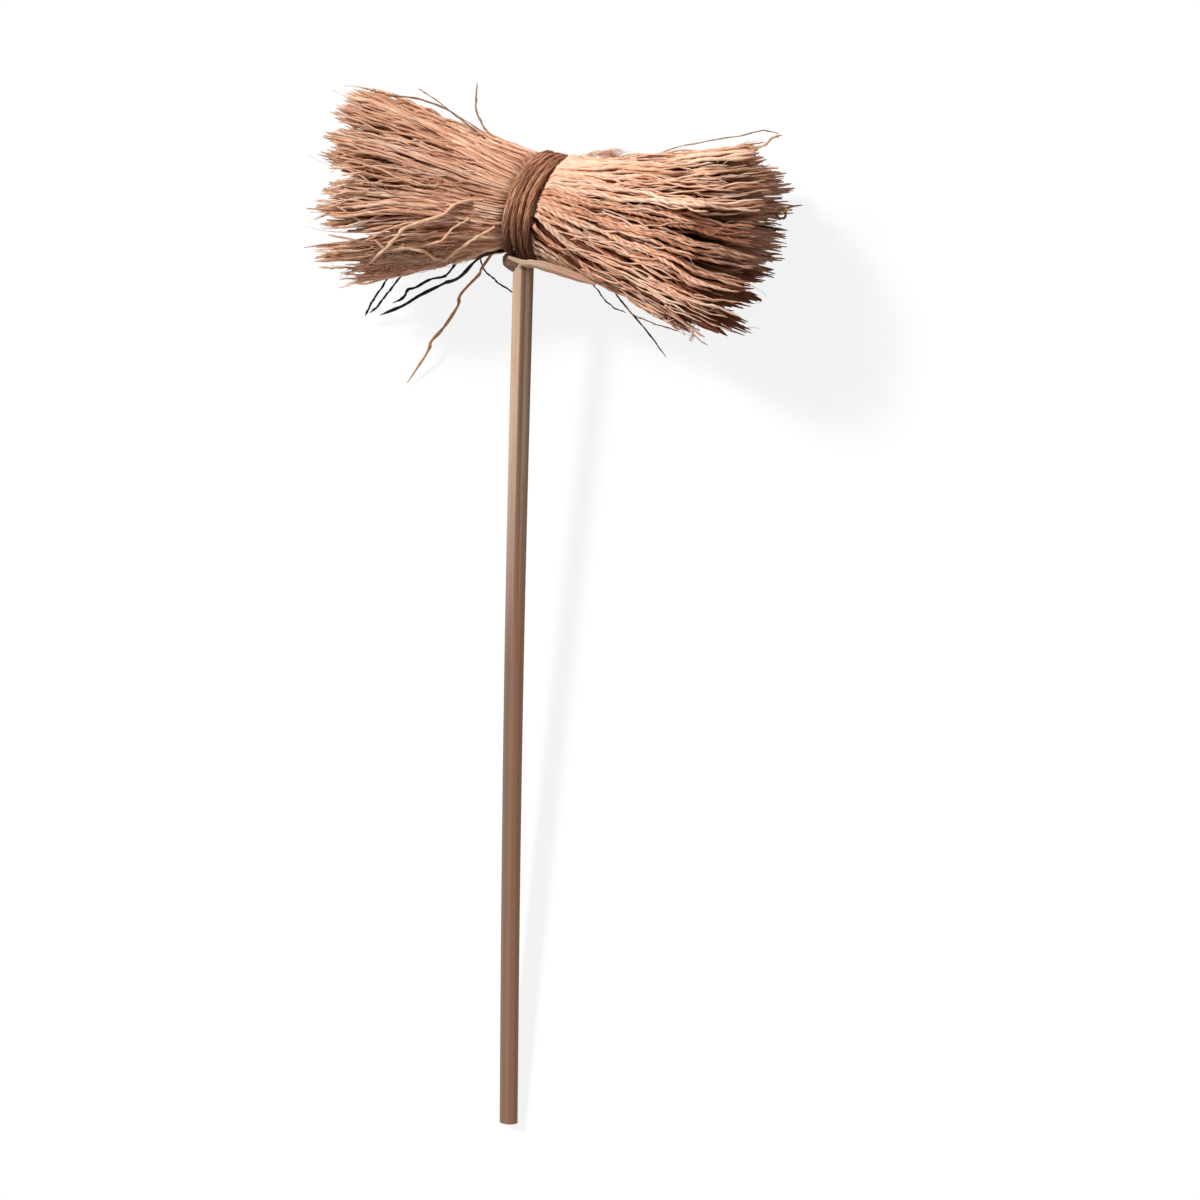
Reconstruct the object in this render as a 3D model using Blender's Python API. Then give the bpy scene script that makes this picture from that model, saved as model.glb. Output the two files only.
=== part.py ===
"""A bundle of root fibres, tied round its middle and glued to a split stick, lying on a flat surface.

The bundle is a bow of fibres that a cord pinches to a narrow neck and that spreads into a brush at both ends.
It rests on the undersides of its two brushes and on the far end of the stick.
Metres, +Z up. The origin is the middle of the object's box, on the surface it lies on.
"""

import math
import random

import bmesh
import bpy
from mathutils import Matrix, Vector

MM = 0.001
SEED = 11
GAP = 0.3 * MM

# Where the tie sits, and how the bundle and the tie turn about Z (from +X towards -Y)
TIE_AT = Vector((-4.3, 117.75, 27.3)) * MM
BUNDLE_TURN = math.radians(-7.5)
TIE_TURN = math.radians(-19.5)
NECK_LEAN = math.tan(BUNDLE_TURN - TIE_TURN)
IN_PLACE = Matrix.Translation(TIE_AT) @ Matrix.Rotation(BUNDLE_TURN, 4, "Z")

# The bundle: a neck under the cord, a shoulder beside it, then a brush each way. The brushes aren't cut level: their
# ends say how many mm further the tips reach, from one side of the brush (-1) across to the other (1).
LOCKS = 28
NECK_R = 13.8 * MM
NECK_HALF = 5.5 * MM
SHOULDER_AT = 9.0 * MM
LEAN_FADE = 30.0 * MM
GROOVE_DEPTH = 0.13
TIP_LENGTH = 13.0 * MM
TIP_SCATTER = 3.0 * MM
TIP_RAGGED = 1.6 * MM
TIP_DOME = 3.5 * MM
TIP_SPREAD = 0.09
INNER_RINGS = ((28, 0.70), (14, 0.42), (7, 0.17))
LEFT = {
    "side": -1,
    "length": 62.5 * MM,
    "slant": 0.06,
    "shoulder_r": 17.0 * MM,
    "end_r": 28.4 * MM,
    "flare": 1.0,
    "shift": -0.7 * MM,
    "drift": 0.2 * MM,
    "steps": 7,
    "ends": ((-1.05, -5.0), (-0.9, -3.0), (-0.78, 3.0), (-0.64, 3.0), (-0.55, -5.0), (-0.42, -5.0), (-0.3, 3.5),
             (-0.18, 3.5), (0.0, 0.0), (0.15, -3.5), (0.35, 0.0), (0.66, -2.0), (1.0, -1.0)),
}
RIGHT = {
    "side": 1,
    "length": 69.0 * MM,
    "slant": 0.08,
    "shoulder_r": 16.4 * MM,
    "end_r": 28.4 * MM,
    "flare": 1.2,
    "shift": 0.4 * MM,
    "drift": -5.5 * MM,
    "steps": 8,
    "ends": ((-1.05, -9.0), (-0.78, -6.0), (-0.55, -3.0), (-0.3, 0.0), (-0.1, 1.5), (0.25, 1.5), (0.4, 2.5),
             (0.6, 1.0), (0.78, 3.0), (1.05, 3.0)),
}

# The cord: one strand wound side by side round the neck
CORD_TURNS = 3.75
STRAND_R = 1.05 * MM
STRAND_PITCH = 2.2 * MM
CORD_START = math.radians(-60.0)
POINTS_PER_TURN = 16
CORD_OUTER_R = NECK_R / math.cos(TIE_TURN - BUNDLE_TURN) + GAP + 2.0 * STRAND_R

# The stick: split, so its section is an uneven polygon (degrees round its length, radius in mm)
STICK_TOP = Vector((-4.5, -13.5, 0.0)) * MM
STICK_END = Vector((-17.1, -270.8, -24.94)) * MM
STICK_SECTION = ((10, 3.0), (58, 2.75), (108, 3.15), (148, 3.0), (184, 3.2), (244, 2.8), (304, 2.8))
STICK_TAPER = 0.90
STICK_BOW = 0.8 * MM
STICK_STEPS = 10

# The glue round the stick's top
GLUE_AT = Vector((-6.9, -16.6, -0.6)) * MM
GLUE_SIZE = Vector((4.6, 3.0, 4.1)) * MM

# The flat root that passes over the stick's top and hugs the right brush: mm along the bundle, degrees round it,
# half width in mm
ROOT_ROUTE = ((-1.5, 159, 0.9), (1, 161, 1.3), (6, 161, 1.8), (12, 160, 1.9), (18, 158, 1.7), (26, 156, 0.8))
ROOT_HALF_THICKNESS = 0.55 * MM
ROOT_TURN = math.radians(-32.0)
ROOT_CLEAR_SHARE = 1.05
ROOT_CLEAR = 1.5 * MM
ROOT_SHAPE = ((-1.0, 0.0), (-0.75, -1.0), (0.75, -1.0), (1.0, 0.0), (0.6, 1.0), (-0.6, 1.0))

# Colour and roughness of each finish
FINISHES = {
    "root_fibre": ((0.42, 0.22, 0.12), 0.85),
    "twisted_cord": ((0.25, 0.12, 0.06), 0.90),
    "split_wood": ((0.48, 0.33, 0.20), 0.60),
    "hot_glue": ((0.30, 0.20, 0.13), 0.35),
    "pale_root": ((0.62, 0.42, 0.26), 0.70),
}


def clear_scene():
    for obj in list(bpy.data.objects):
        bpy.data.objects.remove(obj, do_unlink=True)


def new_collection(name):
    group = bpy.data.collections.new(name)
    bpy.context.scene.collection.children.link(group)
    return group


def finish(name):
    colour, roughness = FINISHES[name]
    material = bpy.data.materials.new(name)
    material.use_nodes = True
    shader = material.node_tree.nodes["Principled BSDF"]
    shader.inputs["Base Color"].default_value = (*colour, 1.0)
    shader.inputs["Roughness"].default_value = roughness
    shader.inputs["Metallic"].default_value = 0.0
    material.diffuse_color = (*colour, 1.0)
    return material


def add_piece(name, mesh, material, group):
    obj = bpy.data.objects.new(name, mesh)
    mesh.materials.append(finish(material))
    group.objects.link(obj)
    return obj


def mesh_from(name, bm):
    bmesh.ops.recalc_face_normals(bm, faces=bm.faces[:])
    mesh = bpy.data.meshes.new(name)
    bm.to_mesh(mesh)
    bm.free()
    return mesh


def smooth(mesh, angle):
    mesh.shade_smooth()
    mesh.set_sharp_from_angle(angle=math.radians(angle))


def skin(bm, rings):
    """Join rings of equally many corners, one after another, with four-sided faces."""
    for near, far in zip(rings, rings[1:]):
        for i, corner in enumerate(near):
            j = (i + 1) % len(near)
            bm.faces.new((corner, near[j], far[j], far[i]))


def lofted(name, sections):
    """A closed skin over a row of sections, with flat ends."""
    bm = bmesh.new()
    rings = [[bm.verts.new(point) for point in section] for section in sections]
    skin(bm, rings)
    bm.faces.new(rings[0])
    bm.faces.new(rings[-1])
    return mesh_from(name, bm)


def cut_with(obj, cutter):
    cut = obj.modifiers.new("cut by " + cutter.name, "BOOLEAN")
    cut.operation = "DIFFERENCE"
    cut.solver = "EXACT"
    cut.object = cutter


def make_cutter(obj, name, group):
    """Set an object aside as a cutter: out of the render, shown as wire, in the cutters' collection."""
    obj.name = name
    obj.hide_render = True
    obj.display_type = "WIRE"
    for holder in obj.users_collection:
        holder.objects.unlink(obj)
    group.objects.link(obj)
    return obj


# The bundle of fibres


class Locks:
    """The grooves and crests that run along the bundle, each with a wander and a fullness of its own."""

    def __init__(self, rng):
        pitch = 2.0 * math.pi / LOCKS
        self.angle = [i * pitch + rng.uniform(-0.16, 0.16) * pitch for i in range(LOCKS)]
        self.wave = [rng.uniform(0.04, 0.14) * pitch for _ in range(LOCKS)]
        self.phase = [rng.uniform(0.0, 2.0 * math.pi) for _ in range(LOCKS)]
        self.fullness = [rng.uniform(-0.035, 0.045) for _ in range(LOCKS)]

    def groove(self, i, s):
        turns, k = divmod(i, LOCKS)
        wander = self.wave[k] * math.sin(s / (9.0 * MM) + self.phase[k])
        return turns * 2.0 * math.pi + self.angle[k] + wander

    def crest(self, i, share, s):
        return (1.0 - share) * self.groove(i, s) + share * self.groove(i + 1, s)

    def lift(self, i, s):
        return 1.0 + self.fullness[i] * (1.0 + 0.5 * math.sin(s / (12.0 * MM) + 2.0 * self.phase[i]))


def spread(half, s):
    """How far along the brush a place is: 0 at the shoulder, 1 where the tips begin."""
    brush = half["length"] - TIP_LENGTH - SHOULDER_AT
    return max(0.0, (abs(s) - SHOULDER_AT) / brush)


def past_neck(s):
    """0 under the cord, 1 from the shoulder on."""
    return min(1.0, max(0.0, (abs(s) - NECK_HALF) / (SHOULDER_AT - NECK_HALF)))


def radius(half, s):
    if abs(s) < SHOULDER_AT:
        return NECK_R + (half["shoulder_r"] - NECK_R) * math.sin(0.5 * math.pi * past_neck(s))
    return half["shoulder_r"] + (half["end_r"] - half["shoulder_r"]) * spread(half, s) ** half["flare"]


def bundle_point(half, s, angle, reach):
    """A place in the bundle: along its axis, round it, and out from it. The neck turns with the tie."""
    held = min(1.0, max(0.0, (LEAN_FADE - abs(s)) / (LEAN_FADE - SHOULDER_AT)))
    lean = NECK_LEAN * held
    y = reach * math.cos(angle)
    in_neck = min(NECK_HALF, max(-NECK_HALF, s))
    sideways = half["shift"] * past_neck(s) + half["drift"] * spread(half, s) ** 1.5 - NECK_LEAN * in_neck
    return Vector((s + lean * y, y + sideways, reach * math.sin(angle)))


def lock_ring(half, locks, s):
    """One station of the bundle: a groove and two crests for each lock."""
    points = []
    depth = GROOVE_DEPTH * min(1.0, 0.1 + spread(half, s))
    full = radius(half, s)
    calm = 1.0 if abs(s) > SHOULDER_AT else 0.0
    for i in range(LOCKS):
        points.append(bundle_point(half, s, locks.groove(i, s), full * (1.0 - depth)))
        lift = 1.0 + calm * (locks.lift(i, s) - 1.0)
        for share in (0.27, 0.73):
            points.append(bundle_point(half, s, locks.crest(i, share, s), full * lift))
    return points


def spike(bm, base, tip):
    point = bm.verts.new(tip)
    for i, corner in enumerate(base):
        bm.faces.new((corner, base[(i + 1) % len(base)], point))


def end_reach(half, across):
    """How much further the tips reach at a place across the brush."""
    ends = half["ends"]
    across = min(max(across, ends[0][0]), ends[-1][0])
    for (x0, reach0), (x1, reach1) in zip(ends, ends[1:]):
        if across <= x1:
            return (reach0 + (reach1 - reach0) * (across - x0) / (x1 - x0)) * MM
    return ends[-1][1] * MM


def tip_over(half, rng, base):
    """Where a lock's tip is: out beyond the middle of its base, spreading with the brush."""
    middle = sum((corner.co for corner in base), Vector()) / len(base)
    out = Vector((0.0, middle.y, middle.z))
    dome = TIP_DOME * out.length_squared / half["end_r"] ** 2
    length = half["length"] - dome + half["slant"] * middle.y + end_reach(half, middle.y / half["end_r"])
    length += rng.uniform(-TIP_SCATTER, TIP_SCATTER)
    widen = 1.0 + TIP_SPREAD * rng.uniform(0.4, 1.6)
    return Vector((half["side"] * length, out.y * widen, out.z * widen))


def close_brush(bm, half, locks, rng, outer):
    """The brush's end: a point on every lock, those of the skin first and then those inside it."""
    start = half["length"] - TIP_LENGTH
    rings = []
    for count, share in INNER_RINGS:
        step = LOCKS // count
        ring = []
        for i in range(count):
            s = half["side"] * (start + rng.uniform(-TIP_RAGGED, TIP_RAGGED))
            angle = locks.groove(i * step, s)
            ring.append(bm.verts.new(bundle_point(half, s, angle, share * radius(half, s))))
        rings.append(ring)
    bases = []
    for i in range(LOCKS):
        skin_edge = [outer[(3 * i + k) % len(outer)] for k in range(4)]
        bases.append(skin_edge + [rings[0][(i + 1) % LOCKS], rings[0][i]])
    for wide, narrow in zip(rings, rings[1:]):
        for i, corner in enumerate(narrow):
            edge = [wide[(2 * i + k) % len(wide)] for k in range(3)]
            bases.append(edge + [narrow[(i + 1) % len(narrow)], corner])
    bases.append(rings[-1])
    for base in bases:
        spike(bm, base, tip_over(half, rng, base))


def stations(half):
    """Places along one half, from beside the middle to where the tips begin."""
    first = (NECK_HALF, 0.5 * (NECK_HALF + SHOULDER_AT), SHOULDER_AT)
    brush = half["length"] - TIP_LENGTH - SHOULDER_AT
    rest = [SHOULDER_AT + brush * (k + 1) / half["steps"] for k in range(half["steps"])]
    return [half["side"] * s for s in (*first, *rest)]


def make_fibre_bundle(group, cutters):
    rng = random.Random(SEED)
    locks = Locks(rng)
    bm = bmesh.new()
    plan = [(LEFT, s) for s in reversed(stations(LEFT))]
    plan.append((RIGHT, 0.0))
    plan += [(RIGHT, s) for s in stations(RIGHT)]
    rings = [[bm.verts.new(p) for p in lock_ring(half, locks, s)] for half, s in plan]
    for half, ring in ((LEFT, rings[0]), (RIGHT, rings[-1])):
        for corner in ring:
            corner.co.x += half["side"] * rng.uniform(-TIP_RAGGED, TIP_RAGGED)
    skin(bm, rings)
    close_brush(bm, LEFT, locks, rng, rings[0])
    close_brush(bm, RIGHT, locks, rng, rings[-1])
    bm.transform(IN_PLACE)
    bundle = add_piece("fibre_bundle", mesh_from("fibre_bundle", bm), "root_fibre", group)
    smooth(bundle.data, 42.0)

    bpy.ops.mesh.primitive_cube_add(size=1.0, location=(0.0, TIE_AT.y, -0.01))
    floor = make_cutter(bpy.context.object, "resting_plane", cutters)
    floor.scale = (0.2, 0.12, 0.02)
    cut_with(bundle, floor)
    return bundle


# The cord round the neck


def make_binding_cord(group):
    count = round(CORD_TURNS * POINTS_PER_TURN) + 1
    axis_r = CORD_OUTER_R - STRAND_R
    width = CORD_TURNS * STRAND_PITCH
    curve = bpy.data.curves.new("binding_cord", "CURVE")
    curve.dimensions = "3D"
    curve.bevel_depth = STRAND_R
    curve.bevel_resolution = 2
    curve.use_fill_caps = True
    spline = curve.splines.new("POLY")
    spline.points.add(count - 1)
    for i, point in enumerate(spline.points):
        done = i / (count - 1)
        angle = CORD_START + done * CORD_TURNS * 2.0 * math.pi
        x = (done - 0.5) * width
        point.co = (x, axis_r * math.cos(angle), axis_r * math.sin(angle), 1.0)
    cord = add_piece("binding_cord", curve, "twisted_cord", group)
    cord.location = TIE_AT
    cord.rotation_euler = (0.0, 0.0, TIE_TURN)
    return cord


# The stick and the glue that holds it


def stick_sections(grow):
    """The stick's sections from the tie to its far end, all of them larger by grow."""
    run = STICK_END - STICK_TOP
    along = run.normalized()
    across = along.cross(Vector((0.0, 0.0, 1.0))).normalized()
    up = across.cross(along)
    sections = []
    for k in range(STICK_STEPS + 1):
        t = k / STICK_STEPS
        middle = TIE_AT + STICK_TOP + run * t + across * STICK_BOW * math.sin(math.pi * t)
        size = (1.0 + (STICK_TAPER - 1.0) * t) * MM
        section = []
        for turn, reach in STICK_SECTION:
            angle = math.radians(turn + 3.0 * math.sin(2.3 * t + turn))
            r = reach * size + grow
            section.append(middle + across * r * math.cos(angle) + up * r * math.sin(angle))
        sections.append(section)
    return sections


def make_cord_room(cutters):
    """The space that the wound cord fills, which the stick's top and the glue are shaped round."""
    bpy.ops.mesh.primitive_cylinder_add(vertices=64, radius=CORD_OUTER_R + GAP, depth=30.0 * MM)
    room = make_cutter(bpy.context.object, "room_for_cord", cutters)
    room.location = TIE_AT
    room.rotation_euler = (0.0, math.radians(90.0), TIE_TURN)
    return room


def make_stick(group, cord_room):
    stick = add_piece("stick", lofted("stick", stick_sections(0.0)), "split_wood", group)
    cut_with(stick, cord_room)
    lowest = min(vertex.co.z for vertex in stick.data.vertices)
    print("stick's lowest point above the surface, mm:", round(lowest / MM, 3))
    return stick


def make_glue_bead(group, cutters, cord_room):
    bm = bmesh.new()
    bmesh.ops.create_uvsphere(bm, u_segments=20, v_segments=12, radius=1.0)
    place = Matrix.Translation(TIE_AT + GLUE_AT) @ Matrix.Diagonal((*GLUE_SIZE, 1.0))
    bm.transform(place)
    for vertex in bm.verts:
        offset = vertex.co - TIE_AT - GLUE_AT
        lump = 1.0 + 0.07 * math.sin(900.0 * offset.x + 1.0) * math.cos(800.0 * offset.z)
        vertex.co = TIE_AT + GLUE_AT + offset * lump
    bead = add_piece("glue_bead", mesh_from("glue_bead", bm), "hot_glue", group)
    smooth(bead.data, 50.0)

    stick_room = bpy.data.objects.new("room_for_stick", lofted("room_for_stick", stick_sections(GAP)))
    cut_with(bead, make_cutter(stick_room, "room_for_stick", cutters))

    cut_with(bead, cord_room)
    return bead


# The flat root that lies over the stick's top


def root_middle(s, angle):
    """A place on the flat root's middle line: just clear of the cord and of the fullest locks."""
    under = max(CORD_OUTER_R, radius(RIGHT, s) * ROOT_CLEAR_SHARE)
    reach = under + GAP + ROOT_CLEAR
    return IN_PLACE @ bundle_point(RIGHT, s, angle, reach)


def make_flat_root(group):
    middles = [root_middle(s * MM, math.radians(angle)) for s, angle, _ in ROOT_ROUTE]
    sections = []
    for i, (s, _, half_width) in enumerate(ROOT_ROUTE):
        along = (middles[min(i + 1, len(middles) - 1)] - middles[max(i - 1, 0)]).normalized()
        outward = middles[i] - IN_PLACE @ Vector((s * MM, 0.0, 0.0))
        across = along.cross(outward).normalized()
        across = (Matrix.Rotation(ROOT_TURN, 3, along) @ across) * half_width * MM
        out = across.cross(along).normalized() * ROOT_HALF_THICKNESS
        sections.append([middles[i] + across * a + out * b for a, b in ROOT_SHAPE])
    root = add_piece("flat_root", lofted("flat_root", sections), "pale_root", group)
    smooth(root.data, 35.0)
    return root


def main():
    clear_scene()
    parts = new_collection("bundle_of_root_fibres")
    cutters = new_collection("cutters")
    make_fibre_bundle(parts, cutters)
    make_binding_cord(parts)
    cord_room = make_cord_room(cutters)
    make_stick(parts, cord_room)
    make_glue_bead(parts, cutters, cord_room)
    make_flat_root(parts)


main()
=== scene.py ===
# %% [markdown]
# # A bundle of root fibres on a split stick
# Broom root is the tough, kinked root of a grass. A maker pinches a bunch of it with a cord, so that it
# spreads into a brush on both sides, and glues the tie to a split stick. The solids of that object come
# packed as a fixed frame. This lesson dresses them: a finer piece takes the place of every solid, and
# the bundle becomes some three thousand single fibres.

# %% Load the frame
import math
import random

import bpy
import numpy as np
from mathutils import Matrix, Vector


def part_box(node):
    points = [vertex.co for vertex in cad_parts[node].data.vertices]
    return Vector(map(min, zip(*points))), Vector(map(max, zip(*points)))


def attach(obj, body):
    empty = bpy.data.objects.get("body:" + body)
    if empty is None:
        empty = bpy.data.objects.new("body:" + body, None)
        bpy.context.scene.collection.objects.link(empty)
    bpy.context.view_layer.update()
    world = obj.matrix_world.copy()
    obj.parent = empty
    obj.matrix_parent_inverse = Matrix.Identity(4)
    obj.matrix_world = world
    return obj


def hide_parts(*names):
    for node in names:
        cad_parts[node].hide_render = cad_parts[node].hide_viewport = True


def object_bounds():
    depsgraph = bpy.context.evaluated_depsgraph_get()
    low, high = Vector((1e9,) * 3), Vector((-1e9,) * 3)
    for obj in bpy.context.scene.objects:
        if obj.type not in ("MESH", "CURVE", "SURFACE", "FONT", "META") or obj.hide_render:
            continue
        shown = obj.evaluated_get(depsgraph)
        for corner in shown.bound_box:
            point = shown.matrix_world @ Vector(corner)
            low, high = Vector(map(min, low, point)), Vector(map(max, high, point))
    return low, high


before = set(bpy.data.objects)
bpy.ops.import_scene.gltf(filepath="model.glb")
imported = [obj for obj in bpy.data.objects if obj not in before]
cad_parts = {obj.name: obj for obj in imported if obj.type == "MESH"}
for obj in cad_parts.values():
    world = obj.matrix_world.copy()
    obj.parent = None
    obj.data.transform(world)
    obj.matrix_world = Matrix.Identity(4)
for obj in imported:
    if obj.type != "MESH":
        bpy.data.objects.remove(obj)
solids_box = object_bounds()
print("solids:", sorted(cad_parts), "box:", [[round(v, 4) for v in corner] for corner in solids_box])

# %% [markdown]
# ## Sizes that the fibres follow
# The fibres have to fill the solid bundle, so its measures are repeated here: a neck under the cord, a
# shoulder beside it and a brush each way. The brushes aren't cut level, so "ends" says how many millimetres
# further the tips reach, from one side of the brush (-1) across to the other (1), and "front" how many
# the tips in front reach past those at the back. Lengths are in metres, written as millimetres times MM.

# %% Sizes of the tie and the bundle
MM = 0.001
TIE_AT = np.array((-4.3, 117.75, 27.3)) * MM
BUNDLE_TURN = math.radians(-7.5)
TIE_TURN = math.radians(-19.5)
UP = (0.0, 0.0, 1.0)
TIE_AXIS = np.array((math.cos(TIE_TURN), math.sin(TIE_TURN), 0.0))
NECK_LEAN = math.tan(BUNDLE_TURN - TIE_TURN)
NECK_R = 13.8 * MM
NECK_HALF = 4.0 * MM
SHOULDER_AT = 6.8 * MM
LEAN_FADE = 30.0 * MM
TIP_LENGTH = 13.0 * MM
CUT_LEAN = 0.14
LONGEST = 73.0 * MM
TIP_SPLAY = 0.11
LOCKS = 28
GROOVE_DEPTH = 0.13
LEFT = {
    "side": -1, "length": 62.5 * MM, "slant": 0.06, "shoulder_r": 15.8 * MM, "end_r": 28.6 * MM,
    "flare": 1.2, "shift": -0.2 * MM, "drift": 0.4 * MM, "bend": 1.5, "front": 0.0,
    "ends": ((-1.14, -2.0), (-1.05, 3.4), (-1.00, -1.6), (-0.93, -7.3), (-0.86, -6.2), (-0.81, -15.2),
             (-0.75, 1.0), (-0.70, 4.4), (-0.67, -27.3), (-0.61, 5.8), (-0.57, -12.0), (-0.54, -15.4),
             (-0.50, -26.0), (-0.45, -10.3), (-0.38, -1.4), (-0.27, -6.9), (-0.22, 3.5), (-0.17, -5.8),
             (-0.09, -1.6), (0.00, -3.5), (0.17, -11.5), (0.27, -1.6), (0.39, -5.9), (0.44, -1.6),
             (0.50, -0.7), (0.56, -13.2), (0.66, -3.3), (0.77, -4.7), (0.86, -4.8), (0.93, -5.6),
             (1.00, -24.0), (1.07, -14.0), (1.14, -17.0)),
}
RIGHT = {
    "side": 1, "length": 69.0 * MM, "slant": 0.08, "shoulder_r": 16.4 * MM, "end_r": 30.1 * MM,
    "flare": 1.45, "shift": 0.4 * MM, "drift": -6.8 * MM, "bend": 1.2, "front": 4.5 * MM,
    "ends": ((-1.14, -25.0), (-1.00, -16.3), (-0.94, -17.3), (-0.88, -18.3), (-0.84, -13.4), (-0.75, -4.2),
             (-0.68, 1.3), (-0.60, -8.2), (-0.52, -4.7), (-0.46, 0.4), (-0.40, -0.4), (-0.34, -6.5),
             (-0.27, -2.3), (-0.19, 3.6), (-0.13, -4.4), (-0.07, 3.4), (0.00, 1.1), (0.07, 4.2), (0.14, 2.7),
             (0.20, 2.7), (0.26, -3.2), (0.41, 6.4), (0.47, -0.5), (0.55, 4.5), (0.62, 0.3), (0.72, 0.1),
             (0.78, -10.4), (0.83, -4.2), (0.92, -8.3), (1.04, -4.8)),
}
tie_low, tie_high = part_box("binding_cord")
print("tie off the cord's middle, mm:", ((np.array(tie_low + tie_high) / 2 - TIE_AT) / MM).round(2))

# %% [markdown]
# ## Small helpers
# Three things come back in nearly every piece: a value that grows along a root, a ring of angles, and
# the distance from the tie's axis, which the cord, the stick's top and the glue all follow.


# %% Small helpers
def grown(value, start, end):
    """0 up to start, 1 past end, and even between them."""
    return np.clip((value - start) / (end - start), 0.0, 1.0)


def round_turn(count):
    return 2.0 * np.pi * np.arange(count) / count


def unit(v):
    return v / np.maximum(np.linalg.norm(v, axis=-1, keepdims=True), 1e-12)


def off_tie_axis(points):
    """How points stand off the tie's axis: the offset square to it, and its length."""
    off = points - TIE_AT
    off = off - (off @ TIE_AXIS)[..., None] * TIE_AXIS
    return off, np.linalg.norm(off, axis=-1)


# %% [markdown]
# ## Places in the bundle
# A place is given as a maker would: how far along the bundle, at what angle round it, and how far out.
# The neck leans with the cord, and both brushes droop a little, so one function turns such a place into
# a point. It works on whole arrays, because thousands of fibres pass through it.


# %% Places in the bundle
def past_neck(s):
    return grown(np.abs(s), NECK_HALF, SHOULDER_AT)


def spread(half, s):
    """How far along the brush: 0 at the shoulder, 1 where the tips begin, and hardly more after that."""
    share = (np.abs(s) - SHOULDER_AT) / (half["length"] - TIP_LENGTH - SHOULDER_AT)
    return np.clip(share, 0.0, 1.0) + 0.2 * np.clip(share - 1.0, 0.0, 0.5)


def radius(half, s):
    neck = NECK_R + (half["shoulder_r"] - NECK_R) * np.sin(0.5 * np.pi * past_neck(s))
    brush = half["shoulder_r"] + (half["end_r"] - half["shoulder_r"]) * spread(half, s) ** half["flare"]
    return np.where(np.abs(s) < SHOULDER_AT, neck, brush)


def turned(x, y, z, turn):
    """Points in a frame that is turned about Z at the tie, as points of the object."""
    c, d = math.cos(turn), math.sin(turn)
    return np.stack((c * x - d * y, d * x + c * y, z), axis=-1) + TIE_AT


def middle_line(half, s):
    """How far the middle of the bundle is to one side, and how far its sections lean."""
    sideways = half["shift"] * past_neck(s) + half["drift"] * spread(half, s) ** half["bend"]
    lean = NECK_LEAN * grown(np.abs(s), LEAN_FADE, SHOULDER_AT)
    return sideways - NECK_LEAN * np.clip(s, -NECK_HALF, NECK_HALF), lean


def splayed(half, s):
    """The tips part a little to both sides."""
    return 1.0 + TIP_SPLAY * np.clip((np.abs(s) - half["length"] + TIP_LENGTH) / TIP_LENGTH, 0.0, 1.2)


def bundle_point(half, s, angle, reach):
    sideways, lean = middle_line(half, s)
    y = reach * np.cos(angle) * splayed(half, s)
    return turned(s + lean * y, y + sideways, reach * np.sin(angle), BUNDLE_TURN)


def tips_at(half, y_share, z_share):
    """How far along the brush its tips reach, at a place in its end: -1 to 1 across, -1 to 1 up."""
    further = np.interp(y_share + CUT_LEAN * z_share, *np.array(half["ends"]).T) * MM
    length = half["length"] + half["slant"] * y_share * half["end_r"]
    return np.minimum(length + half["front"] * (z_share - 0.15) + further, LONGEST)


def sunk(half, points):
    """How many millimetres below the brush's skin each point is."""
    x, y, z = np.moveaxis(points - TIE_AT, -1, 0)
    c, d = math.cos(BUNDLE_TURN), math.sin(BUNDLE_TURN)
    along, across = c * x + d * y, c * y - d * x
    sideways, lean = middle_line(half, along)
    s = along - lean * (across - sideways)
    reach = np.hypot((across - sideways) / splayed(half, s), z)
    return (radius(half, s) - reach) / MM


# %% [markdown]
# ## Locks
# The roots don't lie evenly: they cling together in locks, with a groove between one lock and the next.
# The solid has 28 such grooves, and the same seeded numbers give the same grooves here, so that the
# fibres lie in the solid's own form.


# %% Locks of fibres
def lock_values():
    rng = random.Random(11)
    pitch = 2.0 * math.pi / LOCKS
    angle = [i * pitch + rng.uniform(-0.16, 0.16) * pitch for i in range(LOCKS)]
    wave = [rng.uniform(0.04, 0.14) * pitch for _ in range(LOCKS)]
    phase = [rng.uniform(0.0, 2.0 * math.pi) for _ in range(LOCKS)]
    fullness = [rng.uniform(-0.035, 0.045) for _ in range(LOCKS)]
    return [np.array(v) for v in (angle, wave, phase, fullness)]


GROOVE_ANGLE, GROOVE_WAVE, GROOVE_PHASE, LOCK_FULLNESS = lock_values()


def groove(i, s):
    """The angle of groove i, so far along the brush."""
    turns, k = np.divmod(i, LOCKS)
    return turns * 2.0 * np.pi + GROOVE_ANGLE[k] + GROOVE_WAVE[k] * np.sin(s / (9.0 * MM) + GROOVE_PHASE[k])


def in_lock(lock, place, s):
    """The angle of a place in a lock, which runs from 0 at its one groove to 1 at the other."""
    return (1.0 - place) * groove(lock, s) + place * groove(lock + 1, s)


print("lock width at the brush's end, mm:", round(2 * math.pi * LEFT["end_r"] / LOCKS / MM, 1))

# %% [markdown]
# ## Tubes
# Every root, yarn and hair here is a thin tube along a path. Blender's own curves could draw them, but
# thousands of curves are slow, and a baked finish needs a flat layout of each. So one function builds
# the mesh of many tubes at once with numpy: rings across each path, skinned with four-sided faces. Each
# tube gets a strip of its own in the flat layout, and marks along it that the finish reads.


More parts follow.
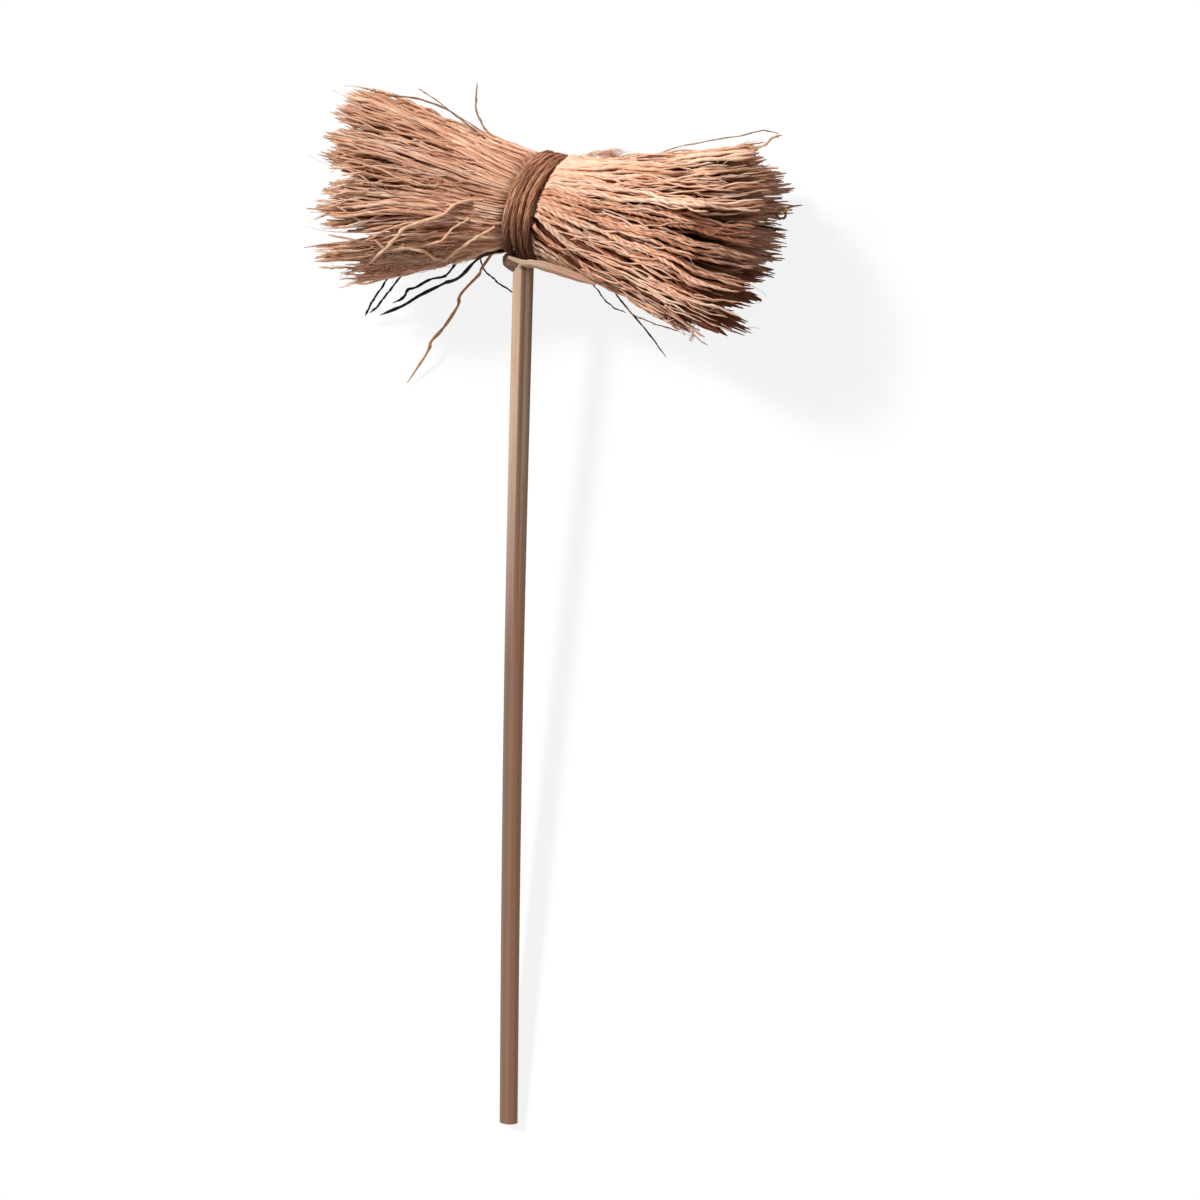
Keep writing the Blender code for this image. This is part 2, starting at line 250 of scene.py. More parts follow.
# %% Build many tubes as one mesh
def add_tubes(name, material, paths, radii, sides, lead, tone, half=None, columns=64,
              waist=np.zeros(1), twist=9.0):
    """Tubes along paths. Their section can be narrower one way, by waist, and turns once in twist mm."""
    count, steps = radii.shape
    along = unit(np.gradient(paths, axis=1))
    across = unit(np.cross(lead, along))
    other = np.cross(along, across)
    turn = round_turn(sides)
    out = across[:, :, None, :] * np.cos(turn)[:, None] + other[:, :, None, :] * np.sin(turn)[:, None]
    step = np.linalg.norm(np.diff(paths, axis=1), axis=2)
    run = np.concatenate((np.zeros((count, 1)), np.cumsum(step, axis=1)), axis=1) / MM
    pace = twist * (1.0 + 0.25 * np.sin(7.0 * np.arange(count)))
    turned_by = (2.0 * np.pi * run / pace[:, None] + 5.0 * np.arange(count)[:, None])[:, :, None]
    crease = 0.5 - 0.5 * np.cos(2.0 * (turn - turned_by))
    slim = 1.0 + waist[:, None, None] * (1.0 - 2.0 * crease)
    points = paths[:, :, None, :] + (radii[:, :, None] * slim)[..., None] * out

    ring = np.arange(count * steps * sides).reshape(count, steps, sides)
    after = np.roll(ring, -1, axis=2)
    walls = np.stack((ring[:, :-1], after[:, :-1], after[:, 1:], ring[:, 1:]), axis=-1).reshape(-1, 4)
    caps = np.concatenate((ring[:, 0, ::-1], ring[:, -1]))
    corners = np.concatenate((walls.ravel(), caps.ravel()))
    sizes = np.concatenate((np.full(len(walls), 4), np.full(len(caps), sides)))

    mesh = bpy.data.meshes.new(name)
    mesh.vertices.add(points.size // 3)
    mesh.vertices.foreach_set("co", points.ravel())
    mesh.loops.add(len(corners))
    mesh.loops.foreach_set("vertex_index", corners.astype(np.int32))
    mesh.polygons.add(len(sizes))
    mesh.polygons.foreach_set("loop_start", np.concatenate(([0], np.cumsum(sizes)[:-1])).astype(np.int32))
    mesh.update(calc_edges=True)
    mesh.validate()
    mesh.shade_smooth()
    lay_flat(mesh, count, steps, sides, columns)

    share = np.broadcast_to(np.linspace(0.0, 1.0, steps), (count, steps))
    mark(mesh, "tone", np.broadcast_to(tone[:, None, None], ring.shape))
    mark(mesh, "crease", crease * (waist / max(waist.max(), 0.01))[:, None, None])
    mark(mesh, "along", np.broadcast_to(share[:, :, None], ring.shape))
    if half:
        mark(mesh, "sunk", sunk(half, points))
    grain = np.empty(ring.shape + (3,))
    grain[..., 0] = np.cos(turn) + 9.0 * np.arange(count)[:, None, None]
    grain[..., 1] = np.sin(turn)
    grain[..., 2] = run[:, :, None]
    flow = mesh.attributes.new("grain", "FLOAT_VECTOR", "POINT")
    flow.data.foreach_set("vector", grain.astype(np.float32).ravel())

    print(name, count, "tubes,", 2 * len(walls) + len(caps) * (sides - 2), "triangles")
    return add_object(name, mesh, material)


def add_object(name, data, material=None):
    piece = bpy.data.objects.new(name, data)
    bpy.context.scene.collection.objects.link(piece)
    if material:
        data.materials.append(material)
    return piece


def mark(mesh, name, values):
    layer = mesh.attributes.new(name, "FLOAT", "POINT")
    layer.data.foreach_set("value", np.ascontiguousarray(values, dtype=np.float32).ravel())


def lay_flat(mesh, count, steps, sides, columns):
    """Unroll each tube into its own strip."""
    rows = math.ceil(count / columns)
    index = np.arange(count)
    corner = np.stack((index % columns / columns, index // columns / rows), axis=-1)
    size = np.array((1.0 / columns, 1.0 / rows))
    u = np.arange(sides + 1) / sides * 0.84 + 0.08
    v = np.arange(steps) / (steps - 1) * 0.96 + 0.02
    wall = np.empty((count, steps - 1, sides, 4, 2))
    wall[..., 0, 0] = wall[..., 3, 0] = u[:-1]
    wall[..., 1, 0] = wall[..., 2, 0] = u[1:]
    wall[..., 0, 1] = wall[..., 1, 1] = v[:-1, None]
    wall[..., 2, 1] = wall[..., 3, 1] = v[1:, None]
    cap = np.empty((2, count, sides, 2))
    turn = round_turn(sides)
    cap[..., 0] = 0.5 + 0.1 * np.cos(turn)
    cap[0, ..., 1] = 0.03 + 0.005 * np.sin(turn)
    cap[1, ..., 1] = 0.97 + 0.005 * np.sin(turn)
    write_layout(mesh, corner[:, None, None, None, :] + wall * size, corner[None, :, None, :] + cap * size)


def write_layout(mesh, walls, caps):
    layer = mesh.uv_layers.new(name="OFBake")
    flat = np.concatenate((walls.reshape(-1, 2), caps.reshape(-1, 2)))
    layer.data.foreach_set("uv", flat.astype(np.float32).ravel())


# %% [markdown]
# ## Writing a finish
# A finish is worked out by nodes. Written as node calls it is hard to read, so a small class wraps a
# socket: sums and products of such links add the Math nodes, and one method adds any other node.


# %% A link that can be reckoned with
class Link:
    def __init__(self, tree, socket):
        self.tree = tree
        self.socket = socket

    def make(self, kind, settings, inputs, output=0):
        node = self.tree.nodes.new(kind)
        for key, value in settings.items():
            if key == "stops":
                ramp = node.color_ramp
                while len(ramp.elements) < len(value):
                    ramp.elements.new(1.0)
                for element, (place, colour) in zip(ramp.elements, value):
                    element.position = place
                    element.color = (*colour, 1.0)
            else:
                setattr(node, key, value)
        for key, value in inputs.items():
            if isinstance(value, Link):
                self.tree.links.new(value.socket, node.inputs[key])
            else:
                node.inputs[key].default_value = value
        return Link(self.tree, node.outputs[output])

    def reckon(self, operation, *values, clamp=False):
        inputs = dict(enumerate(values))
        return self.make("ShaderNodeMath", {"operation": operation, "use_clamp": clamp}, inputs)

    def __add__(self, other):
        return self.reckon("ADD", self, other)

    def __radd__(self, other):
        return self.reckon("ADD", other, self)

    def __sub__(self, other):
        return self.reckon("SUBTRACT", self, other)

    def __rsub__(self, other):
        return self.reckon("SUBTRACT", other, self)

    def __mul__(self, other):
        return self.reckon("MULTIPLY", self, other)

    def __rmul__(self, other):
        return self.reckon("MULTIPLY", other, self)

    def __pow__(self, other):
        return self.reckon("POWER", self, other)

    def held(self, low=0.0, high=1.0):
        """The value stretched so that low becomes 0 and high becomes 1, and held between them."""
        return self.reckon("MULTIPLY_ADD", self, 1.0 / (high - low), -low / (high - low), clamp=True)

    def mark(self, name):
        return self.make("ShaderNodeAttribute", {"attribute_name": name}, {}, "Fac")

    def vector_mark(self, name):
        return self.make("ShaderNodeAttribute", {"attribute_name": name}, {}, "Vector")

    def stretched(self, x, y, z):
        return self.make("ShaderNodeVectorMath", {"operation": "MULTIPLY"}, {0: self, 1: (x, y, z)})

    def noise(self, scale, detail=3.0, roughness=0.55):
        inputs = {"Vector": self, "Scale": scale, "Detail": detail, "Roughness": roughness}
        return self.make("ShaderNodeTexNoise", {}, inputs, "Fac")

    def ramp(self, *stops):
        return self.make("ShaderNodeValToRGB", {"stops": stops}, {"Fac": self}, "Color")

    def tint(self, other, share, way="MIX"):
        """This colour mixed with another by a share."""
        settings = {"data_type": "RGBA", "blend_type": way}
        other = (*other, 1.0) if isinstance(other, tuple) else other
        return self.make("ShaderNodeMix", settings, {"Factor": share, 6: self, 7: other}, 2)

    def bump(self, depth, strength=1.0):
        return self.make("ShaderNodeBump", {}, {"Height": self, "Distance": depth, "Strength": strength})


def new_finish(name, roughness):
    """A material with its shader, and a first link from which its nodes are made."""
    material = bpy.data.materials.new(name)
    material.use_nodes = True
    shader = material.node_tree.nodes["Principled BSDF"]
    shader.inputs["Roughness"].default_value = roughness
    shader.inputs["Specular IOR Level"].default_value = 0.12
    return material, shader, Link(material.node_tree, None)


def feed(shader, name, link):
    link.tree.links.new(link.socket, shader.inputs[name])


# %% [markdown]
# ## The finish of the roots
# A dry root is reddish brown with paler, worn streaks along it, and no two are the same. Each tube
# carries a tone of its own. Noise that is drawn out along the root gives its streaks, a fine bump roughens
# the skin, and its tip has a colour of its own. The creases of its twisted section get painted shade, and so
# do roots deep in the bundle, so a mark says how far below the brush's skin they lie. Those inside the right
# brush darken soonest.


# %% Finish of the roots
def root_finish(name, colours, shade_colour, shade_between, tip, tip_share, crease_shade):
    material, shader, start = new_finish(name, 0.82)
    grain = start.vector_mark("grain")
    streaks = grain.stretched(1.0, 1.0, 0.20).noise(1.3, 4.0)
    lines = grain.stretched(2.6, 2.6, 0.12).noise(1.5, 2.0)
    place = start.make("ShaderNodeTexCoord", {}, {}, "Object")
    patches = place.stretched(55.0, 150.0, 150.0).noise(1.0, 2.0)
    tone = start.mark("tone")
    shade = 0.45 * tone + 0.80 * streaks + 0.65 * lines + 0.75 * patches - 0.83
    colour = shade.ramp(*zip((0.05, 0.36, 0.68, 1.0), colours))
    tipward = start.mark("along").held(0.78, 1.0)
    colour = colour.tint(tip, tip_share * tipward * (1.25 - tone))
    # Painted shade in the creases of the twisted section
    colour = colour.tint(shade_colour, crease_shade * start.mark("crease") ** 1.5)
    # Painted shade on roots below the brush's skin, less of it towards the tips
    colour = colour.tint(shade_colour, 0.96 * start.mark("sunk").held(*shade_between) * (1.0 - 0.70 * tipward))
    feed(shader, "Base Color", colour)
    ridges = grain.stretched(2.2, 2.2, 0.45).noise(1.8, 3.0)
    feed(shader, "Normal", ridges.bump(0.25 * MM, 0.8))
    return material


LEFT_COLOURS = ((0.33, 0.125, 0.063), (0.78, 0.385, 0.235), (1.0, 0.63, 0.44), (1.0, 0.87, 0.72))
RIGHT_COLOURS = ((0.43, 0.168, 0.090), (0.91, 0.455, 0.28), (1.0, 0.65, 0.46), (1.0, 0.79, 0.64))
# Colours of the painted shade in creases and deep in the brushes, and of the tips
LEFT_PAINTED_SHADE, LEFT_TIP = (0.21, 0.064, 0.024), (0.92, 0.55, 0.33)
RIGHT_PAINTED_SHADE, RIGHT_TIP = (0.14, 0.037, 0.015), (0.22, 0.090, 0.048)
left_root = root_finish("left_root", LEFT_COLOURS, LEFT_PAINTED_SHADE, (1.1, 3.7), LEFT_TIP, 0.5, 0.32)
right_root = root_finish("right_root", RIGHT_COLOURS, RIGHT_PAINTED_SHADE, (1.0, 2.6), RIGHT_TIP, 0.5, 0.46)
inner_root = root_finish("inner_root", RIGHT_COLOURS, RIGHT_PAINTED_SHADE, (0.5, 2.6), RIGHT_TIP, 0.4, 0.30)
print("root finishes:", left_root.name, right_root.name, inner_root.name)

# %% [markdown]
# ## Where the fibres stand in the neck
# The cord packs the roots tight. Seen from the end they lie in layers, like the rings of an onion, each
# root about a millimetre thick. The brush opens only because the same roots share a wider circle there.


# %% Roots packed in the neck
def packed(rng, outermost, innermost, pitch):
    """The angle and the share of the radius of each root, layer by layer from outside in."""
    angles, shares = [], []
    share = outermost
    while share > innermost:
        count = max(1, round(2.0 * math.pi * share * NECK_R / pitch))
        first = rng.uniform(0.0, 2.0 * math.pi)
        angles.append(first + (np.arange(count) + rng.uniform(-0.3, 0.3, count)) * 2.0 * math.pi / count)
        shares.append(share + rng.uniform(-0.3, 0.3, count) * pitch / NECK_R)
        share -= 0.85 * pitch / NECK_R
    return np.concatenate(angles) % (2.0 * math.pi), np.concatenate(shares)


def waves(rng, count, s, lengths, kinked):
    """A wander for each root: a sum of waves, some of them with the sharp turns of a kinked root."""
    total = np.zeros(s.shape)
    for length in lengths:
        phase = rng.uniform(0.0, 2.0 * np.pi, (count, 1))
        pace = rng.uniform(0.8, 1.3, (count, 1))
        turn = 2.0 * np.pi * s / (length * pace) + phase
        sharp = np.arcsin(np.sin(turn)) * 2.0 / np.pi
        total += ((1.0 - kinked) * np.sin(turn) + kinked * sharp) * (length / max(lengths)) ** 0.85
    return total


def hollows(seed, angle, s):
    """Where the brush's skin has sunk: 0 over most of it, up to 1 in long hollows."""
    rng = np.random.default_rng(seed)
    total = np.zeros(s.shape)
    for around in (3, 5, 7, 8, 11, 13):
        pace = 2.0 * np.pi / (rng.uniform(24.0, 60.0) * MM) * rng.choice((-1.0, 1.0))
        total += np.sin(around * angle + pace * s + rng.uniform(0.0, 2.0 * np.pi))
    return np.clip((total - 1.0) / 2.2, 0.0, 1.0)


# %% [markdown]
# ## How a fibre runs
# Five things move a root from its place in the brush. It fans out from the front of the neck, it may only
# come up to the skin part of the way along, it wanders with its lock and by itself, it sinks where the
# brush has a hollow, and it draws in to the middle of its lock at the end, which gives pointed tufts. Its
# length varies too, most of all at the right brush's low corner, where the ends are ragged.


# %% Paths of the roots of one brush
UNDER_CORD = 1.5 * MM
FREE_BETWEEN = (6.0 * MM, 22.0 * MM)
FAN_BETWEEN = (2.5 * MM, 38.5 * MM)


def brush_paths(rng, half, angles, shares, steps, look, late):
    count = len(angles)
    lock = np.searchsorted(GROOVE_ANGLE, angles) - 1
    low, high = groove(lock, 0.0), groove(lock + 1, 0.0)
    place = np.clip(((angles - low) % (2.0 * np.pi)) / (high - low), 0.0, 1.0)
    band = np.digitize(shares, (0.32, 0.55, 0.78))
    band_middle = np.array((0.20, 0.43, 0.66, 0.90))[band]

    lock_rng = np.random.default_rng(look["seed"])
    lock_length = lock_rng.uniform(-look["tufts"], look["tufts"], (4, LOCKS))[band, lock % LOCKS]
    at_tip = 0.5 + (place - 0.5) * (1.0 - look["pull"])
    tip_angle = in_lock(lock, at_tip, half["side"] * half["length"])
    tip_share = (shares + (band_middle - shares) * 0.5 * look["pull"]) ** (1.0 - look["outward"])
    length = tips_at(half, tip_share * np.cos(tip_angle), tip_share * np.sin(tip_angle))
    length = length - look["dome"] * shares ** 2 + lock_length
    length = length - look["short_sides"] * np.abs(2.0 * place - 1.0) ** 2
    corner = np.clip(-tip_share * np.cos(tip_angle) * 4.0 - 1.6, 0.0, 1.0)
    length = length - rng.exponential(look["short"] + look["ragged"] * corner) + 0.8 * MM

    done = np.linspace(0.0, 1.0, steps)[None, :]
    s = -UNDER_CORD + done * (length[:, None] + UNDER_CORD)
    free = grown(s, *FREE_BETWEEN)
    opened = 1.0 - (1.0 - grown(s, *FAN_BETWEEN)) ** 1.5
    fanned = np.radians(np.interp(np.degrees(angles), *np.array(look["fan"]).T)) * grown(shares, 0.5, 0.8)
    last = grown(s / half["length"], 0.4, 1.0)
    pull = look["pull"] * last ** 1.5 * (3.0 - 2.0 * last)
    place = 0.5 + (place[:, None] - 0.5) * (1.0 - pull)
    s_side = half["side"] * s
    angle = in_lock(lock[:, None], place, s_side) - fanned[:, None] * (1.0 - opened)

    up_from = rng.uniform(14.0, 40.0, (count, 1)) * MM
    surfaced = grown(s, up_from, up_from + 10.0 * MM)
    share = shares[:, None] - late[:, None] * (1.0 - surfaced * surfaced * (3.0 - 2.0 * surfaced))
    outward = 1.0 - look["outward"] * grown(s, 0.0, 28.0 * MM)
    reach = (share + (band_middle - shares)[:, None] * 0.5 * pull) ** outward
    crest = np.abs(2.0 * place - 1.0) ** 3 * look["grooves"] * np.minimum(1.0, 0.1 + spread(half, s))
    crest = 1.0 - GROOVE_DEPTH * crest
    full = 1.0 + LOCK_FULLNESS[lock % LOCKS][:, None] * free
    reach = reach * crest * full * radius(half, s) * look["fill"]

    shared = np.random.default_rng(look["seed"] + 1)
    whole = np.broadcast_to(np.linspace(0.0, half["length"], 64), (4 * LOCKS, 64))
    sway = waves(shared, 4 * LOCKS, whole, look["lock_waves"], look["kinked"])
    index = band * LOCKS + lock % LOCKS
    column = np.clip(s / half["length"] * 63, 0, 62.99)
    base = np.floor(column).astype(int)
    part = column - base
    swayed = sway[index[:, None], base] * (1 - part) + sway[index[:, None], base + 1] * part
    own = waves(rng, count, s, look["waves"], look["kinked"])
    rise = waves(rng, count, s, look["waves"], look["kinked"])
    sideways = (look["lock_sway"] * swayed + look["sway"] * own) * free
    angle = angle + sideways / np.maximum(reach, 3.0 * MM)
    reach = reach + look["rise"] * (rise - 0.35) * free
    reach = reach - look["hollow"] * hollows(look["seed"], angle, s) * free
    return s_side, angle, np.maximum(reach, 0.2 * MM)


def thickness(rng, steps, count, middle, varied, neck):
    """Root radii: thinner where the cord packs them, lumpy along the way, and drawn out to a point."""
    done = np.linspace(0.0, 1.0, steps)[None, :]
    size = middle * rng.uniform(1.0 - varied, 1.0 + varied, (count, 1))
    neck = neck + (1.0 - neck) * grown(done, 0.0, 0.45)
    taper = 1.0 - 0.72 * grown(done, rng.uniform(0.78, 0.93, (count, 1)), 1.0) ** 1.6
    lumps = 1.0 + 0.16 * waves(rng, count, np.broadcast_to(done, (count, steps)), (0.09, 0.05, 0.16), 0.0)
    return size * neck * taper * lumps


def kept_inside(points, radii):
    """Roots that would leave the box of the solids, such as below the table, bend along it instead."""
    low, high = (np.array(corner) for corner in solids_box)
    margin = radii[..., None] + 0.05 * MM
    return np.clip(points, low + margin, high - margin)


# %% [markdown]
# ## The two brushes
# The left brush is finer and straighter, and its locks end in pale points. The right brush is coarser:
# its roots are thicker and kinked, and dark gaps open between them, most of all on its lower side. There
# its fan starts from so narrow a place that the roots would crowd each other, so some are left out, some
# come up to the skin later, and those beneath are painted darker, as shade. Roots near the skin are built
# round and full of detail. Those inside need fewer corners.


# %% Build a brush
LOW_SIDE = np.radians(145.0)
BACK_SIDE = np.radians(215.0)
SKIN_FROM = 0.92


def crowding(angles):
    """Which roots the fan would crowd at the tie: the share of them that gives way at each angle."""
    low = 0.80 * np.clip(8.0 * np.cos(angles - LOW_SIDE) - 6.4, 0.0, 1.0)
    return low + 0.45 * np.clip(8.0 * np.cos(angles - BACK_SIDE) - 5.6, 0.0, 1.0)


def add_brush(name, half, look, rng, shares_between, detail, material):
    """Single roots, in the layers between two shares of the radius."""
    angles, shares = packed(rng, *shares_between, look["pitch"])
    steps, sides = detail
    kept = (crowding(angles) < 0.2) | (shares < SKIN_FROM) | (np.arange(len(angles)) % look["thinned"] > 0)
    angles, shares = angles[kept], shares[kept]
    crowded = crowding(angles)
    late = look["late"] * (rng.uniform(0.0, 1.0, len(angles)) < crowded) * (shares > SKIN_FROM)
    s, angle, reach = brush_paths(rng, half, angles, shares, steps, look, late)
    radii = thickness(rng, steps, len(angles), look["radius"], look["varied"], look["neck"])
    points = kept_inside(bundle_point(half, s, angle, reach), radii * (1.0 + look["waist"]))
    tone = rng.uniform(0.0, 1.0, len(angles))
    # Crowded roots beneath the skin get a lower tone: painted shade
    beneath_shade = look["beneath_shade"] * (crowded > 0.1) * np.where(shares < SKIN_FROM, 1.0, 0.5 * (late > 0.0))
    tone = tone - beneath_shade * (tone + 0.9)
    waist = look["waist"] * np.clip(0.55 + np.cos(angles - LOW_SIDE), 0.2, 1.0)
    return add_tubes(name, material, points, radii, sides, UP, tone, half, waist=waist, twist=look["twist"])


# A look says how the roots of a brush are: how thick and how close in the neck, how much their lengths
# differ, and how they gather in locks (pull, grooves), wander (sway, rise) and sink (hollow). Where the fan
# crowds the skin, one root in so many is left out (thinned), some surface late, and those beneath are
# painted darker, as shade.
# The fan says, at each angle round the neck, how many degrees a root starts from where it spreads to.
FINE = {
    "seed": 21, "pitch": 0.70 * MM, "radius": 0.42 * MM, "varied": 0.45, "neck": 0.65, "tufts": 1.0 * MM,
    "short": 1.6 * MM, "short_sides": 0.8 * MM, "dome": 3.0 * MM, "pull": 0.25, "fill": 0.985,
    "outward": 0.30, "late": 0.0, "grooves": 0.45, "lock_waves": (0.050, 0.022),
    "waves": (0.055, 0.022, 0.009, 0.006), "kinked": 0.3, "lock_sway": 0.35 * MM, "sway": 0.42 * MM,
    "rise": 0.32 * MM, "hollow": 0.8 * MM, "waist": 0.18, "twist": 9.0, "ragged": 0.0, "beneath_shade": 0.0,
    "thinned": 1000,
    "fan": ((0, -22), (28, -29), (46, -25), (80, -12), (105, -11), (134, -9), (180, -5), (260, 0),
            (330, -12), (360, -22)),
}
COARSE = {
    "seed": 31, "pitch": 0.82 * MM, "radius": 0.53 * MM, "varied": 0.20, "neck": 0.95, "tufts": 1.0 * MM,
    "short": 1.6 * MM, "short_sides": 1.0 * MM, "dome": 0.0, "pull": 0.22, "fill": 0.975, "outward": 0.18,
    "late": 0.14, "grooves": 0.8, "lock_waves": (0.045, 0.020), "waves": (0.050, 0.018, 0.009),
    "kinked": 0.4, "lock_sway": 0.40 * MM, "sway": 0.55 * MM, "rise": 0.32 * MM, "hollow": 1.5 * MM,
    "waist": 0.20, "twist": 6.5, "ragged": 7.0 * MM, "beneath_shade": 0.9, "thinned": 3,
    "fan": ((0, 0), (35, -5), (78, 6), (90, 4), (118, 26), (133, 41), (165, 68), (190, 68), (220, 60),
            (260, 45), (310, 15), (360, 0)),
}
BENEATH = dict(COARSE, radius=0.50 * MM, neck=0.7, waist=0.18, twist=9.0)
INSIDE = dict(BENEATH, pitch=1.0 * MM, waist=0.22, late=0.0)
LEFT_INSIDE = dict(FINE, pitch=0.95 * MM, radius=0.50 * MM)
brushes = [
    add_brush(name, half, look, np.random.default_rng(seed), between, detail, finish)
    for seed, name, half, look, between, detail, finish in (
        (1, "left_brush_skin", LEFT, FINE, (0.965, 0.90), (54, 6), left_root),
        (6, "left_brush_inside", LEFT, FINE, (0.88, 0.74), (24, 5), left_root),
        (2, "left_brush_core", LEFT, LEFT_INSIDE, (0.74, 0.06), (16, 5), left_root),
        (3, "right_brush_skin", RIGHT, COARSE, (0.965, 0.95), (110, 7), right_root),
        (7, "right_brush_beneath", RIGHT, BENEATH, (0.915, 0.90), (46, 6), right_root),
        (4, "right_brush_inside", RIGHT, INSIDE, (0.865, 0.70), (32, 5), inner_root),
        (5, "right_brush_core", RIGHT, INSIDE, (0.70, 0.06), (16, 5), inner_root),
    )
]

# %% [markdown]
# ## Rootlets
# Roots branch. Thin rootlets leave the thicker ones part of the way along and lie over their
# neighbours, so the brushes look denser and finer towards their ends.


# %% Rootlets over the brushes
def add_rootlets(name, material, half, look, rng, count):
    start = rng.uniform(10.0, 46.0, count) * MM
    reach_out = rng.uniform(12.0, 34.0, count) * MM
    angles = rng.uniform(0.0, 2.0 * np.pi, count)
    end_at = tips_at(half, np.cos(angles), np.sin(angles)) - rng.uniform(-0.5, 7.0, count) * MM
    end = np.minimum(start + reach_out, end_at)
    steps = 18
    done = np.linspace(0.0, 1.0, steps)[None, :]
    s = start[:, None] + done * (end - start)[:, None]
    slip = rng.normal(0.0, 0.10, (count, 1)) * done
    wander = waves(rng, count, s, (0.040, 0.015, 0.007), 0.4)
    angle = angles[:, None] + slip + 0.8 * MM * wander / radius(half, s)
    lift = rng.uniform(-0.6, 0.9, (count, 1)) * MM * np.sin(np.pi * np.clip(done * 1.15, 0.0, 1.0))
    reach = radius(half, s) * 0.975 * look["fill"] + lift
    reach = reach + 0.2 * MM * waves(rng, count, s, (0.009, 0.015), 0.3)
    radii = thickness(rng, steps, count, 0.26 * MM, 0.35, 0.7)
    points = kept_inside(bundle_point(half, half["side"] * s, angle, reach), radii)
    return add_tubes(name, material, points, radii, 4, UP, rng.uniform(0.25, 1.0, count), half)


left_rootlets = add_rootlets("left_rootlets", left_root, LEFT, FINE, np.random.default_rng(5), 340)
right_rootlets = add_rootlets("right_rootlets", right_root, RIGHT, COARSE, np.random.default_rng(6), 240)

# %% [markdown]
# ## Fuzz
# Where the skin of dry roots has frayed, it leaves fine curled hairs: a tuft of them on top of the right
# brush, a crumbly patch low on the left one, and single hairs everywhere. Each starts at a place in the
# brush, given as millimetres along, degrees round and millimetres out.


# %% Fine curled hairs
HAIRS_FROM = 0.955


def add_hairs(name, material, half, rng, starts, lengths, lift, size):
    count, steps = len(starts), 14
    along, degrees, out = (np.asarray(starts, dtype=float)[:, k:k + 1] for k in range(3))
    done = np.linspace(0.0, 1.0, steps)[None, :]
    run = done * rng.uniform(*lengths, (count, 1))
    heading = rng.normal(0.0, 0.6, (count, 1))
    curls = [waves(rng, count, run, (6.0, 3.5), 0.4) for _ in range(3)]
    s = np.clip(along + run * np.cos(heading) + 0.35 * curls[0], 0.0, 75.0) * MM
    angle = np.radians(degrees) + (run * np.sin(heading) + 0.45 * curls[1]) * MM / radius(half, s)
    high = out + lift * np.sin(2.6 * done) * rng.uniform(0.2, 1.0, (count, 1)) + 0.25 * curls[2]
    share = HAIRS_FROM + high * MM / radius(half, s)
    s = np.minimum(s, tips_at(half, share * np.cos(angle), share * np.sin(angle)) + 1.0 * MM)
    radii = size * rng.uniform(0.7, 1.2, (count, 1)) * (1.0 - 0.6 * done)
    points = bundle_point(half, half["side"] * s, angle, HAIRS_FROM * radius(half, s) + high * MM)
    tone = rng.uniform(0.2, 1.0, count)
    return add_tubes(name, material, kept_inside(points, radii), radii, 3, (0.2, 0.3, 1.0), tone)


def tuft_starts(rng, count):
    along = rng.triangular(7.0, 17.0, 21.0, count)
    high = rng.uniform(0, 2.2, count) * np.interp(along, (7, 18, 21), (0, 1, 0.3))
    return np.stack((along, rng.normal(8.0, 5.0, count), high), 1)


def single_starts(rng, count, furthest):
    between = ((12, furthest), (0, 360), (-0.5, 0.3))
    return np.stack([rng.uniform(low, high, count) for low, high in between], 1)


def patch_starts(rng, count):
    along = rng.uniform(20.0, 42.0, count)
    around = np.interp(along, (20, 25, 31, 38, 42), (165, 165, 160, 154, 152)) + rng.normal(0, 6, count)
    return np.stack((along, around, rng.uniform(-0.4, 1.1, count)), 1)


fuzz_rng = np.random.default_rng(45)
TUFT = tuft_starts(fuzz_rng, 90)
RIGHT_FUZZ = single_starts(fuzz_rng, 150, 64)
LEFT_FUZZ = single_starts(fuzz_rng, 190, 56)
PATCH = patch_starts(fuzz_rng, 220)
hairs = [
    add_hairs("fuzz_tuft", right_root, RIGHT, fuzz_rng, TUFT, (3.0, 7.0), 1.0, 0.10 * MM),
    add_hairs("right_fuzz", right_root, RIGHT, fuzz_rng, RIGHT_FUZZ, (4.0, 9.0), 1.2, 0.10 * MM),
    add_hairs("left_fuzz", left_root, LEFT, fuzz_rng, LEFT_FUZZ, (5.0, 12.0), 1.2, 0.10 * MM),
    add_hairs("crumbly_patch", left_root, LEFT, fuzz_rng, PATCH, (3.0, 8.0), 0.8, 0.15 * MM),
]

# %% [markdown]
# ## Smooth routes
# Some roots are worth placing one by one. A route is a few points, and a spline through them gives as many
# places along it as its tube needs.


# %% A smooth line through a few points
def through(route, steps):
    """A smooth line that passes through every point of a route."""
    route = np.asarray(route, dtype=float)
    ends = np.concatenate((2 * route[:1] - route[1:2], route, 2 * route[-1:] - route[-2:-1]))
    at = np.linspace(0.0, len(route) - 1.000001, steps)
    i = np.floor(at).astype(int)
    t = (at - i)[:, None]
    a, b, c, d = ends[i], ends[i + 1], ends[i + 2], ends[i + 3]
    return 0.5 * (2 * b + (c - a) * t + (2 * a - 5 * b + 4 * c - d) * t**2 + (3 * b - a - 3 * c + d) * t**3)


# %% [markdown]
# ## Stray roots
# A few roots have worked loose: a kinked orange one under the left brush and blackened ones under both,
# golden ones at the left end and an upright one above them, pale and brown ones along the upper edge, and
# at the right end a thick golden one that hooks up and a brown one with a small loop. Their routes are in
# millimetres from the middle of the tie. Pale roots that cross the front of the left brush lie on it, so
# their routes are given as places in the bundle: millimetres along, degrees round and millimetres out.


